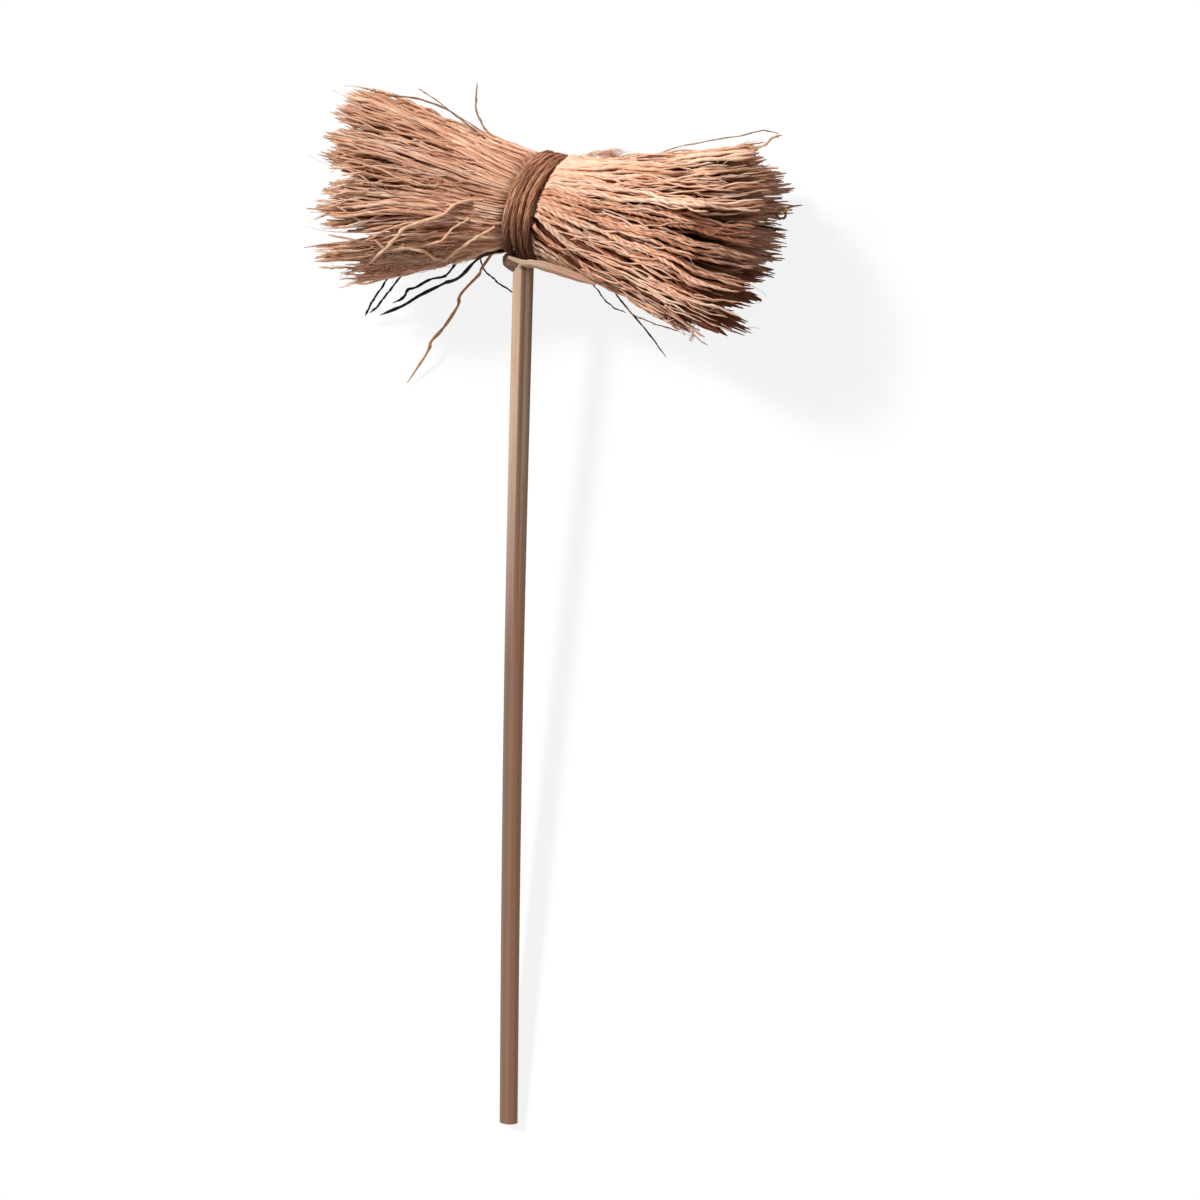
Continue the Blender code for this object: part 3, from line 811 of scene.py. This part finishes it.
# %% Finishes of the stray roots
def plain_root_finish(name, dark, light, roughness, specular=0.3):
    material, shader, start = new_finish(name, roughness)
    shader.inputs["Specular IOR Level"].default_value = specular
    grain = start.vector_mark("grain")
    streaks = grain.stretched(0.8, 0.8, 0.35).noise(1.2, 4.0)
    feed(shader, "Base Color", streaks.ramp((0.30, dark), (0.70, light)))
    feed(shader, "Normal", grain.stretched(1.5, 1.5, 0.8).noise(2.0, 3.0).bump(0.2 * MM, 0.7))
    return material


STRAY_FINISHES = {
    name: plain_root_finish(name, *values) for name, *values in (
        ("orange_root", (0.36, 0.145, 0.05), (0.74, 0.37, 0.16), 0.7),
        ("golden_root", (0.42, 0.20, 0.08), (0.86, 0.56, 0.30), 0.75),
        ("black_root", (0.006, 0.004, 0.003), (0.022, 0.013, 0.010), 0.7, 0.1),
        ("brown_root", (0.16, 0.075, 0.04), (0.40, 0.21, 0.12), 0.75),
        ("pale_root", (0.62, 0.32, 0.18), (0.96, 0.65, 0.44), 0.75),
    )
}

# %% Routes of the stray roots
# For each root: its radius in mm, then the places that it passes
LOOSE = {
    "orange_root": (
        (0.48, ((-14, -10, -6), (-19.5, -16.6, -7.3), (-21.4, -18.7, -9.3), (-28, -23.4, -13.3),
         (-29.6, -26.4, -15.3), (-33.5, -30.5, -18.3), (-36.7, -33.6, -20.3), (-40.6, -36.6, -22.3),
         (-41.4, -38.4, -22.8), (-45.1, -43.3, -24.3), (-49.5, -48.5, -25.8))),
    ),
    "golden_root": (
        (0.3, ((-11.5, 18.4, 1), (-13.7, 20.9, 3), (-14.9, 22.9, 5), (-15.8, 25.4, 7),
         (-16.0, 28.3, 9), (-15.1, 31.4, 11), (-14.2, 34.5, 13))),
        (0.34, ((-46, 3.2, 11), (-52, 1.6, 11), (-59, -0.6, 10.5), (-65.2, -2.8, 10))),
        (0.34, ((-42, -11.4, 10), (-49, -12.3, 11), (-57, -13, 10.5), (-63.9, -13.2, 10))),
        (0.34, ((-42, -15.8, 10), (-50, -17.3, 10.5), (-58, -17.2, 10), (-64.2, -16.9, 10))),
        (0.68, ((48, 11.4, 6), (59.4, 12.7, 8), (64.0, 12.8, 8), (67.2, 12.9, 8))),
        (0.34, ((63, 12.7, 8), (67.0, 12.8, 8), (69.2, 13.5, 8.2), (71.1, 14.9, 8.8), (72.7, 15.7, 9),
         (74.3, 15.8, 9))),
        (0.24, ((68, -3.4, 7), (71.8, -4.2, 6.5), (73.4, -3.7, 6.3), (74.5, -4.1, 6), (74.7, -4.9, 6),
         (73.8, -5.3, 6))),
    ),
    "black_root": (
        (0.5, ((-9.5, -13.0, 3), (-11, -13.6, 6), (-13.7, -14.4, 7), (-18.1, -16.3, 4),
         (-24.3, -19.4, -2), (-29, -20.2, -7), (-32.9, -20.8, -10.3), (-41.2, -23.5, -13.3),
         (-48.3, -26.4, -16.3), (-55.8, -28.4, -19.3))),
        (0.42, ((-27, -15, -6), (-30, -17.8, -7.3), (-32.6, -18.7, -9.3), (-37.4, -19.2, -11.3),
         (-42.5, -20.8, -14.3), (-45.4, -21.5, -15.3), (-46.7, -22.9, -16.3), (-49.1, -24.1, -18.3),
         (-51.7, -24.8, -19.3))),
        (0.34, ((-47, -14, -10), (-51.7, -18.8, -13.3), (-56.4, -22.8, -17.3), (-59.1, -24.8, -20.3),
         (-62.1, -28.1, -23.3))),
        (0.34, ((-43, -15, -10), (-47.8, -19.1, -12.3), (-51.2, -21.4, -15.3), (-54.5, -23.7, -18.3),
         (-57.5, -26.1, -20.3), (-60.2, -27.3, -22.3))),
        (0.26, ((-20, -13, -7), (-19.2, -16.6, -7.3), (-16.1, -19.5, -6.3), (-13.3, -21.7, -5.3),
         (-8.2, -24.9, -3.3))),
        (0.24, ((62, -8.0, 9), (68, -9.4, 8), (70.5, -9.6, 8), (72.2, -10.4, 8), (73.6, -10.6, 8))),
        (0.2, ((12, -18, -5), (15.7, -23.4, -5.3), (19.7, -28.6, -7.3), (24, -30.8, -9.3))),
        (0.24, ((19, -21, -5), (22.9, -26.8, -5.3), (26.9, -32, -7.3), (30.6, -37, -10.3),
         (34.4, -43.4, -15.3))),
    ),
    "brown_root": (
        (0.16, ((-14.3, 19.9, 1), (-17, 22.4, 2), (-25.3, 27.9, 3), (-33, 33.6, 3), (-35.8, 35.2, 3))),
        (0.3, ((-14.2, 19.2, 6), (-21.5, 25.2, 7), (-27.2, 28.9, 8), (-34, 31.3, 8), (-41.1, 32.6, 8),
         (-46.8, 34.2, 8), (-51.0, 35.2, 8))),
        (0.18, ((36, 12.6, 4), (41.2, 14.2, 4), (47, 14.9, 6), (54.1, 15.7, 7), (61.2, 16.3, 8),
         (67.2, 17.4, 8), (70.3, 17.4, 8), (73.4, 16.4, 8.5))),
        (0.36, ((66, -4.6, 5), (71.2, -5.4, 5), (73.2, -4.7, 5), (74.4, -5.4, 5), (74.1, -6.6, 5),
         (72.8, -6.9, 5), (72.2, -5.9, 5.4), (73.0, -5.0, 5.6), (74.2, -4.2, 5.4), (74.8, -5.0, 5),
         (74.2, -5.8, 5))),
        (0.2, ((22, -26, -6), (26.8, -31.4, -5.3), (33.7, -34.6, -5.3), (41.7, -37.2, -3.3))),
    ),
    "pale_root": (
        (0.36, ((-28, 25.6, 6), (-36, 30.2, 7), (-42, 32.9, 8), (-46, 34.2, 8), (-50, 35.1, 8))),
        (0.34, ((-32, 27.6, 5), (-40, 31.8, 6.5), (-46, 33.8, 7), (-49, 34.6, 7))),
    ),
}
CROSSING = (
    (0.52, ((-10.5, 97, -1.6), (-15.1, 99.6, 0.1), (-18.3, 103.6, 0.7), (-21.4, 112.7, 0.6),
     (-31.9, 122, 0.8), (-35, 129.9, 0.7), (-39.2, 139.3, 0.7), (-45.9, 154.4, -0.4))),
    (0.44, ((-6.1, 126.3, -0.4), (-9.5, 133.5, 0.5), (-13.9, 142.6, 0.7), (-21.5, 160, 0.7),
     (-25, 170, 0.2))),
    (0.46, ((-41.5, 132, -0.4), (-38.7, 139.6, 0.6), (-35.6, 139, 1.0), (-32.8, 140, 1.0),
     (-28.4, 145, 0.9), (-26, 155.4, 0.7), (-23.8, 165.1, 0.2))),
    (0.36, ((-14, 117, -0.5), (-18.9, 126.8, 0.7), (-21.6, 135.8, 0.8), (-29.9, 143.2, -0.3))),
    (0.62, ((-5, 159, 0.2), (-7.2, 157.5, 1.0), (-10.6, 160, 1.1), (-14.4, 165.3, 1.1),
     (-18.5, 170, 0.9), (-22, 175, 0.5))),
)


# %% Build the stray roots
def add_strays(name, material, parts):
    """Roots of one finish: each is a list of points of the object and a radius."""
    rng = np.random.default_rng(40)
    steps = 48
    paths = np.array([through(route, steps) for route, _ in parts])
    done = np.broadcast_to(np.linspace(0.0, 1.0, steps), (len(parts), steps))
    kinks = [waves(rng, len(parts), done, (0.30, 0.14), 0.4) for _ in range(3)]
    held_ends = np.minimum(1.0, 8.0 * done * (1.0 - done))[..., None]
    paths = paths + 0.09 * MM * np.stack(kinks, axis=-1) * held_ends
    radii = thickness(rng, steps, len(parts), 1.0, 0.0, 0.8) * np.array([r for _, r in parts])[:, None]
    tone = np.full(len(parts), 0.5)
    return add_tubes(name, material, kept_inside(paths, radii), radii, 8, (0.3, 0.2, 1.0), tone, columns=16)


def in_bundle(route):
    s, angle, out = (np.array(v, dtype=float) for v in zip(*route))
    return bundle_point(LEFT, s * MM, np.radians(angle), radius(LEFT, s * MM) + out * MM)


strays = []
for finish, routes in LOOSE.items():
    parts = [(TIE_AT + np.array(route) * MM, r * MM) for r, route in routes]
    strays.append(add_strays("stray_" + finish, STRAY_FINISHES[finish], parts))
crossing = [(in_bundle(route), r * MM) for r, route in CROSSING]
strays.append(add_strays("crossing_roots", STRAY_FINISHES["pale_root"], crossing))

# %% [markdown]
# ## The binding cord
# The cord is soft, loosely twisted yarn, wound four times. The turns are not alike: a broad loose one on
# the left, a narrow one beside it, and two together on the right. Each turn is built from thin yarns that
# twist slowly round each other, with short hairs that stand off them. The grooves between the turns get
# painted shade, so a mark says how far in each place of the cord lies, and its lower side, towards the
# stick, is painted darker as shade too.

# %% Route and section of the cord
TIE_R = NECK_R / math.cos(TIE_TURN - BUNDLE_TURN)
CORD_R = TIE_R + 0.3 * MM
# For each quarter turn from the back: mm along the tie's axis, half width, half height, mm further out
CORD_ROUTE = (
    (-1.5, 0.9, 0.5, -0.3), (-0.7, 1.3, 0.9, 0.0), (-2.7, 1.30, 1.10, 0.15), (-2.2, 1.1, 1.0, 0.0),
    (-0.8, 1.0, 0.9, 0.0), (1.5, 0.75, 0.95, 0.1), (-1.2, 0.85, 0.95, 0.0), (1.3, 0.8, 0.95, 0.0),
    (1.6, 1.0, 0.9, 0.0), (3.3, 0.80, 1.0, 0.1), (0.75, 0.72, 0.95, 0.0), (3.3, 1.1, 1.0, 0.0),
    (3.2, 0.9, 0.9, 0.0), (4.6, 0.70, 0.9, 0.0), (2.85, 0.95, 1.10, 0.15), (5.7, 1.2, 0.85, 0.0),
    (4.2, 0.7, 0.5, -0.5),
)
CORD_START = math.radians(-90.0)
CORD_TURNS = (len(CORD_ROUTE) - 1) / 4
YARN_R = 0.21 * MM
YARN_TWISTS = 2.6
GOLDEN_ANGLE = 2.39996


def cord_place(done):
    """Along the axis, half width, half height and distance out of the cord, at so many turns."""
    table = through(CORD_ROUTE, 400)
    at = np.linspace(0.0, CORD_TURNS, 400)
    return [np.interp(done, at, table[:, k]) * MM for k in range(4)]


def cord_path(done, x_share, y_share):
    """A place in the cord's section, in the object's frame."""
    along, wide, high, out = cord_place(done)
    angle = CORD_START + 2.0 * np.pi * done
    reach = CORD_R + high * (1.0 + y_share) + out
    return turned(along + wide * x_share, reach * np.cos(angle), reach * np.sin(angle), TIE_TURN)


# %% Finish of the cord
# Heights between which the painted shade on the cord's lower side fades out
SHADED_BELOW, LIT_ABOVE = 104.5 * MM, 114.5 * MM


def cord_finish():
    material, shader, start = new_finish("cord_yarn", 0.85)
    grain = start.vector_mark("grain")
    shade = 0.75 * start.mark("tone") + 0.9 * grain.stretched(0.8, 0.8, 0.25).noise(1.4, 4.0) - 0.36
    colour = shade.ramp(
        (0.1, (0.17, 0.056, 0.026)), (0.5, (0.60, 0.27, 0.155)), (0.9, (0.95, 0.55, 0.35)))
    place = start.make("ShaderNodeTexCoord", {}, {}, "Object")
    y = start.make("ShaderNodeSeparateXYZ", {}, {0: place}, 1)
    # Painted shade on the cord's lower side, towards the stick
    colour = colour.tint((0.075, 0.022, 0.010), 0.85 * (1.0 - y.held(SHADED_BELOW, LIT_ABOVE)))
    # Painted shade in the grooves between the turns
    colour = colour.tint((0.10, 0.032, 0.015), 0.85 * start.mark("sunk").held(0.45, 1.25))
    feed(shader, "Base Color", colour)
    feed(shader, "Normal", grain.stretched(2.0, 2.0, 0.9).noise(2.0, 3.0).bump(0.15 * MM, 0.7))
    return material


cord_yarn = cord_finish()


# %% Build the cord
def add_cord():
    rng = np.random.default_rng(50)
    yarns, steps = 30, 240
    done = np.broadcast_to(np.linspace(0.0, CORD_TURNS, steps), (yarns, steps))
    turn = np.arange(yarns)[:, None] * GOLDEN_ANGLE + done * 2.0 * np.pi * YARN_TWISTS
    share = np.sqrt((np.arange(yarns) + 0.6) / yarns)[:, None] * 0.86
    wobble = 0.10 * waves(rng, yarns, done, (0.35, 0.22, 0.14), 0.0)
    paths = cord_path(done, (share + wobble) * np.cos(turn), (share + wobble) * np.sin(turn))
    radii = YARN_R * rng.uniform(0.8, 1.2, (yarns, 1))
    radii = radii * (1 + 0.12 * waves(rng, yarns, done, (0.1, 0.06), 0.0))
    cord = add_tubes("cord", cord_yarn, paths, radii, 5, TIE_AXIS, rng.uniform(0, 1, yarns), columns=yarns)
    away = off_tie_axis(np.array([corner.co for corner in cord.data.vertices]))[1]
    mark(cord.data, "sunk", (CORD_R + 2.1 * MM - away) / MM)
    return cord


def add_cord_hairs():
    rng = np.random.default_rng(51)
    count, steps = 420, 9
    start = rng.uniform(0.1, CORD_TURNS - 0.2, (count, 1))
    done = start + np.linspace(0.0, 1.0, steps)[None] * rng.uniform(0.03, 0.10, (count, 1))
    turn = rng.uniform(0.1, np.pi - 0.1, (count, 1))
    turn = turn + rng.normal(0.0, 0.5, (count, 1)) * (done - start) * 10.0
    lift = 1.02 + np.linspace(0.0, 1.0, steps)[None] ** 2 * rng.uniform(-0.1, 0.5, (count, 1))
    paths = cord_path(done, lift * np.cos(turn), lift * np.sin(turn))
    radii = np.broadcast_to(np.linspace(0.09, 0.03, steps)[None] * MM, (count, steps))
    lead = TIE_AXIS + (0.0, 0.0, 0.1)
    return add_tubes("cord_hairs", cord_yarn, paths, radii, 3, lead, rng.uniform(0.2, 1, count))


cord = add_cord()
cord_hairs = add_cord_hairs()

# %% [markdown]
# ## The stick
# The stick was split off a larger piece with a knife, so its faces are uneven, with a ridge where two of
# them meet. It's a loft: the solid's own seven-cornered section, with its corners eased, shallow
# grain lines pressed into it, and its top hollowed to lie against the cord.

# %% Measures of the stick
STICK_TOP = np.array((-4.5, -13.5, 0.0)) * MM
STICK_END = np.array((-17.1, -270.8, -24.94)) * MM
STICK_SECTION = ((10, 3.0), (58, 2.75), (108, 3.15), (148, 3.25), (184, 3.5), (244, 2.9), (304, 2.8))
STICK_TAPER = 0.90
STICK_BOW = 0.8 * MM
CORNER_EASE = 11.0
CORD_ROOM = TIE_R + 2.7 * MM


def section_reach(turns, t):
    """How far out the split faces are at each angle: straight between corners, and eased at them."""
    angles = np.array([math.radians(turn + 3.0 * math.sin(2.3 * t + turn)) for turn, _ in STICK_SECTION])
    reaches = np.array([reach for _, reach in STICK_SECTION]) * (1.0 + (STICK_TAPER - 1.0) * t) * MM
    faces = np.zeros(len(turns))
    for a0, r0, a1, r1 in zip(angles, reaches, np.roll(angles, -1), np.roll(reaches, -1)):
        wide = (a1 - a0) % (2.0 * math.pi)
        part = (turns - a0) % (2.0 * math.pi)
        here = part < wide
        faces[here] = r0 * r1 * math.sin(wide) / (r0 * np.sin(part[here]) + r1 * np.sin(wide - part[here]))
    waves_round = np.fft.fftfreq(len(turns)) * len(turns)
    return np.fft.ifft(np.fft.fft(faces) * np.exp(-(waves_round / CORNER_EASE) ** 2)).real


# %% Build the stick
def add_stick():
    rng = np.random.default_rng(60)
    around, steps = 96, 150
    turns = round_turn(around)
    run = STICK_END - STICK_TOP
    along = unit(run)
    across = unit(np.cross(along, UP))
    up = np.cross(across, along)
    lines = rng.normal(0.0, 1.0, around) * 0.035 * MM
    lines = lines + np.interp(turns, (4.1, 4.35, 4.6), (0, -0.12, 0)) * MM
    points = np.empty((steps, around, 3))
    for k in range(steps):
        t = k / (steps - 1)
        fade = 0.6 + 0.4 * math.sin(5.0 * t + 1.0)
        reach = section_reach(turns, t) + lines * fade
        middle = TIE_AT + STICK_TOP + run * t + across * STICK_BOW * math.sin(math.pi * t)
        points[k] = middle + (across * np.cos(turns)[:, None] + up * np.sin(turns)[:, None]) * reach[:, None]
    for column in range(around):
        line = points[:, column]
        away = off_tie_axis(line)[1]
        out = np.argmax(away > CORD_ROOM)
        share = (CORD_ROOM - away[out - 1]) / (away[out] - away[out - 1]) if out else 0.0
        at = np.linspace(max(0.0, out - 1 + share), steps - 1, steps)
        points[:, column] = np.stack([np.interp(at, np.arange(steps), axis) for axis in line.T], axis=-1)
    return skin_loft("split_stick", stick_finish(), points)


def skin_loft(name, material, points):
    """A closed skin over rings of points, with marks of how far along and round each corner is."""
    steps, around, _ = points.shape
    ring = np.arange(steps * around).reshape(steps, around)
    after = np.roll(ring, -1, axis=1)
    walls = np.stack((ring[:-1], ring[1:], after[1:], after[:-1]), axis=-1).reshape(-1, 4)
    faces = walls.tolist() + [ring[0].tolist(), ring[-1, ::-1].tolist()]
    mesh = bpy.data.meshes.new(name)
    mesh.from_pydata(points.reshape(-1, 3).tolist(), [], faces)
    mesh.validate()
    middle = points.mean(axis=1)
    run = np.concatenate(([0.0], np.cumsum(np.linalg.norm(np.diff(middle, axis=0), axis=1)))) / MM
    mark(mesh, "run", np.broadcast_to(run[:, None], ring.shape))
    turns = round_turn(around)
    mark(mesh, "side_x", np.broadcast_to(np.cos(turns), ring.shape))
    mark(mesh, "side_y", np.broadcast_to(np.sin(turns), ring.shape))
    u = np.arange(around + 1) / around * 0.9 + 0.05
    v = np.arange(steps) / (steps - 1) * 0.9 + 0.05
    wall = np.empty((steps - 1, around, 4, 2))
    wall[..., 0, 0] = wall[..., 1, 0] = u[:-1]
    wall[..., 2, 0] = wall[..., 3, 0] = u[1:]
    wall[..., 0, 1] = wall[..., 3, 1] = v[:-1, None]
    wall[..., 1, 1] = wall[..., 2, 1] = v[1:, None]
    cap = 0.02 + 0.015 * np.stack((np.cos(turns), np.sin(turns)), axis=-1)
    write_layout(mesh, wall, np.stack((cap, cap[::-1] + (0.0, 0.95))))
    mesh.shade_smooth()
    mesh.set_sharp_from_angle(angle=math.radians(50.0))
    print(name, 2 * len(walls), "triangles")
    return add_object(name, mesh, material)


# %% [markdown]
# ## The finish of the stick
# Split wood shows long straight grain. The face that was under the bark is pale and pinkish, and the ridge
# between the faces is stained brown where dirt and glue have caught on it. The other face, turned from the
# light, is painted darker as shade, and so is its outer edge. Lower down, the stick is painted darker as
# shade, most of all on its lit face.


# %% Finish of the stick
RIDGE = (math.cos(math.radians(114.0)), math.sin(math.radians(114.0)))


def stick_finish():
    material, shader, start = new_finish("split_wood_grain", 0.58)
    run, x, y = start.mark("run"), start.mark("side_x"), start.mark("side_y")
    sides = start.make("ShaderNodeCombineXYZ", {}, {0: x, 1: y, 2: run})
    grain = sides.stretched(9.0, 9.0, 0.06).noise(1.0, 5.0, 0.6)
    fine = sides.stretched(26.0, 26.0, 0.25).noise(1.0, 3.0, 0.6)
    shade = 0.7 * grain + 0.5 * fine - 0.1
    wood = shade.ramp((0.25, (0.33, 0.21, 0.135)), (0.5, (0.51, 0.35, 0.245)), (0.8, (0.63, 0.45, 0.33)))
    # Painted shade on the face turned away from the light
    shaded_side = (-0.9 * x + 0.35 * y).held(0.25, 0.75)
    wood = wood.tint((0.36, 0.245, 0.17), 0.80 * shaded_side)
    ridge = (RIDGE[0] * x + RIDGE[1] * y).held(0.955, 0.992)
    wood = wood.tint((0.15, 0.075, 0.04), 0.85 * ridge * (0.7 + 0.6 * grain))
    # Painted shade along the edge turned away from the light
    edge = (-1.0 * x).held(0.93, 0.99)
    wood = wood.tint((0.14, 0.085, 0.06), 0.55 * edge)
    # Painted shade on the lower stick, darker on its lit face, so both faces come out about alike
    lower_shade = shaded_side.ramp((0.0, (0.155, 0.090, 0.062)), (1.0, (0.31, 0.155, 0.094)))
    wood = wood.tint(lower_shade, 0.90 * run.held(45.0, 118.0))
    feed(shader, "Base Color", wood)
    feed(shader, "Normal", (0.6 * grain + 0.4 * fine).bump(0.12 * MM, 0.6))
    return material


stick = add_stick()

# %% [markdown]
# ## The glue
# A bead of hot glue holds the stick against the tie. It set in a lumpy, slightly glossy drop with dust
# and threads of fibre in it. A rounded form with a few waves of different length gives its lumps.

# %% Build the glue bead
GLUE_AT = np.array((-6.9, -15.6, -0.4)) * MM
GLUE_SIZE = np.array((3.9, 3.3, 3.7)) * MM


def add_glue():
    around, steps = 56, 40
    turns = round_turn(around)
    fall = np.linspace(0.03, math.pi - 0.03, steps)
    normal = np.empty((steps, around, 3))
    normal[..., 0] = np.sin(fall)[:, None] * np.cos(turns)
    normal[..., 1] = np.sin(fall)[:, None] * np.sin(turns)
    normal[..., 2] = np.cos(fall)[:, None]
    lumps = 1.0 + 0.07 * np.sin(4.1 * normal[..., 0] + 1.0) * np.cos(3.2 * normal[..., 2])
    lumps += 0.035 * np.sin(9.0 * normal[..., 1] + 5.0 * normal[..., 0]) * np.sin(8.0 * normal[..., 2] + 2.0)
    points = TIE_AT + GLUE_AT + normal * GLUE_SIZE * lumps[..., None]
    off, away = off_tie_axis(points)
    pushed = np.maximum(0.0, CORD_ROOM - 0.9 * MM - away)
    return skin_loft("glue_drop", glue_finish(), points + off / away[..., None] * pushed[..., None])


def glue_finish():
    material, shader, start = new_finish("set_glue", 0.38)
    place = start.make("ShaderNodeTexCoord", {}, {}, "Object")
    dust = place.noise(900.0, 4.0, 0.6)
    haze = place.noise(260.0, 2.0)
    shade = 0.6 * dust + 0.6 * haze - 0.1
    colour = shade.ramp(
        (0.25, (0.095, 0.043, 0.026)), (0.55, (0.235, 0.13, 0.085)), (0.85, (0.36, 0.23, 0.165)))
    feed(shader, "Base Color", colour)
    feed(shader, "Roughness", 0.28 + 0.35 * dust)
    feed(shader, "Normal", haze.bump(0.4 * MM, 0.5))
    return material


glue = add_glue()

# %% [markdown]
# ## The flat root
# A broad, flattened root passes over the top of the stick and lies along the lower edge of the right
# brush. It's a ridged strip with uneven edges, turned a little onto its side and narrow at both ends. It
# is pale where it leaves the tie, and as brown as its neighbours further on.

# %% Build the flat root
# Millimetres along, degrees round and half its width in mm
ROOT_ROUTE = (
    (-1.5, 159, 0.35), (1, 160, 0.7), (6, 160, 1.25), (12, 159, 1.45), (18, 157, 1.2), (24, 155, 0.4),
)
ROOT_TURN = math.radians(38.0)


def add_flat_root():
    rng = np.random.default_rng(70)
    steps, around = 60, 28
    route = through(ROOT_ROUTE, steps)
    s, angle, half_width = route[:, 0] * MM, np.radians(route[:, 1]), route[:, 2] * MM
    under = np.maximum(CORD_R + 2.3 * MM, radius(RIGHT, s) * 1.04)
    middle = bundle_point(RIGHT, s, angle, under + 0.9 * MM)
    axis = bundle_point(RIGHT, s, angle, 0.0 * under)
    along = unit(np.gradient(middle, axis=0))
    across = unit(np.cross(along, middle - axis))
    out = np.cross(across, along)
    across, out = (across * math.cos(ROOT_TURN) + out * math.sin(ROOT_TURN),
                   out * math.cos(ROOT_TURN) - across * math.sin(ROOT_TURN))
    turns = round_turn(around)
    ridges = 1.0 + 0.10 * np.sin(5.0 * turns + 0.7) + 0.06 * rng.normal(0.0, 1.0, around)
    edge = 1.0 + 0.12 * waves(rng, 1, s[None, :], (0.011, 0.006, 0.019), 0.2)[0]
    wide = np.cos(turns) * ridges * half_width[:, None] * edge[:, None]
    high = np.sin(turns) * ridges * 0.6 * MM * np.minimum(1.0, half_width[:, None] / MM)
    points = middle[:, None] + across[:, None] * wide[..., None] + out[:, None] * high[..., None]
    return skin_loft("flat_root_strip", flat_root_finish(), points[:, ::-1])


def flat_root_finish():
    material, shader, start = new_finish("flat_root_skin", 0.68)
    run, x, y = start.mark("run"), start.mark("side_x"), start.mark("side_y")
    sides = start.make("ShaderNodeCombineXYZ", {}, {0: x, 1: y, 2: run})
    streaks = sides.stretched(5.0, 5.0, 0.12).noise(1.0, 5.0, 0.6)
    colour = streaks.ramp((0.3, (0.36, 0.20, 0.13)), (0.5, (0.62, 0.42, 0.30)), (0.7, (0.84, 0.64, 0.49)))
    colour = colour.tint((0.44, 0.215, 0.13), 0.68 * run.held(5.0, 16.0))
    feed(shader, "Base Color", colour)
    feed(shader, "Normal", streaks.bump(0.25 * MM, 0.7))
    return material


flat_root = add_flat_root()

# %% [markdown]
# ## What stands for what
# Each dressed piece takes the place of its solid, and all of them belong to the one body. The solids
# stay behind for weight and contact, and don't show.

# %% Hand the pieces to the frame
FIBRES = [*brushes, left_rootlets, right_rootlets, *hairs, *strays]
for piece in FIBRES:
    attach(piece, "root")
    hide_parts("fibre_bundle")
for piece, node, slot in (
    (cord, "binding_cord", "twisted_cord"),
    (cord_hairs, "binding_cord", "twisted_cord"),
    (stick, "stick", "split_wood"),
    (glue, "glue_bead", "hot_glue"),
    (flat_root, "flat_root", "pale_root"),
):
    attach(piece, "root")
    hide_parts(node)
print("pieces:", len(FIBRES) + 5)

# %% [markdown]
# ## Floor, light and camera
# The floor is pale and the light soft, from the upper left. The floor shows itself to the camera a
# little brighter than it is lit, so it reads as white, and still takes the bundle's shadow.


# %% The floor
FLOOR_HALF = 3.0
FLOOR_WHITE = 0.86


def shows_backdrop(start):
    """1 for a ray that shows the floor or the room itself: to the camera, in gloss or through glass."""
    seen, glossy, through_glass = (
        start.make("ShaderNodeLightPath", {}, {}, kind)
        for kind in ("Is Camera Ray", "Is Glossy Ray", "Is Transmission Ray")
    )
    return seen + glossy + through_glass


def add_floor():
    mesh = bpy.data.meshes.new("floor")
    corners = [(x * FLOOR_HALF, y * FLOOR_HALF, 0.0) for x, y in ((-1, -1), (1, -1), (1, 1), (-1, 1))]
    mesh.from_pydata(corners, [], [(0, 1, 2, 3)])
    material, shader, start = new_finish("pale_floor", 0.9)
    shader.inputs["Base Color"].default_value = (0.90, 0.90, 0.90, 1.0)
    shader.inputs["Specular IOR Level"].default_value = 0.0
    white = start.make("ShaderNodeEmission", {}, {"Color": (1.0, 1.0, 1.0, 1.0), "Strength": 1.0})
    lit = Link(start.tree, shader.outputs[0])
    share = FLOOR_WHITE * shows_backdrop(start)
    mixed = start.make("ShaderNodeMixShader", {}, {0: share, 1: lit, 2: white})
    start.tree.links.new(mixed.socket, material.node_tree.nodes["Material Output"].inputs["Surface"])
    return add_object("floor", mesh, material)


floor = add_floor()


# %% The light
ROOM_LIGHT = 0.34
SUN_LIGHT = 3.5


def add_light():
    world = bpy.data.worlds.new("soft_room")
    bpy.context.scene.world = world
    world.use_nodes = True
    tree = world.node_tree
    background = tree.nodes["Background"]
    background.inputs["Color"].default_value = (1.0, 1.0, 1.0, 1.0)
    share = shows_backdrop(Link(tree, None)).held()
    strength = ROOM_LIGHT + (1.0 - ROOM_LIGHT) * share
    tree.links.new(strength.socket, background.inputs["Strength"])
    sun = bpy.data.lights.new("window", "SUN")
    sun.energy = SUN_LIGHT
    sun.angle = math.radians(11.0)
    add_object("window", sun).rotation_euler = (math.radians(-28.0), math.radians(-31.0), 0.0)


add_light()

# %% The camera
camera = add_object("camera", bpy.data.cameras.new("camera"))
camera.location = TIE_AT + np.array((0.2516, -0.1143, 0.8121))
camera.rotation_euler = (0.0, math.radians(16.0), 0.0)
camera.data.lens = 87.93
camera.data.sensor_width = 36.0
bpy.context.scene.camera = camera
bpy.context.scene.view_settings.view_transform = "Standard"
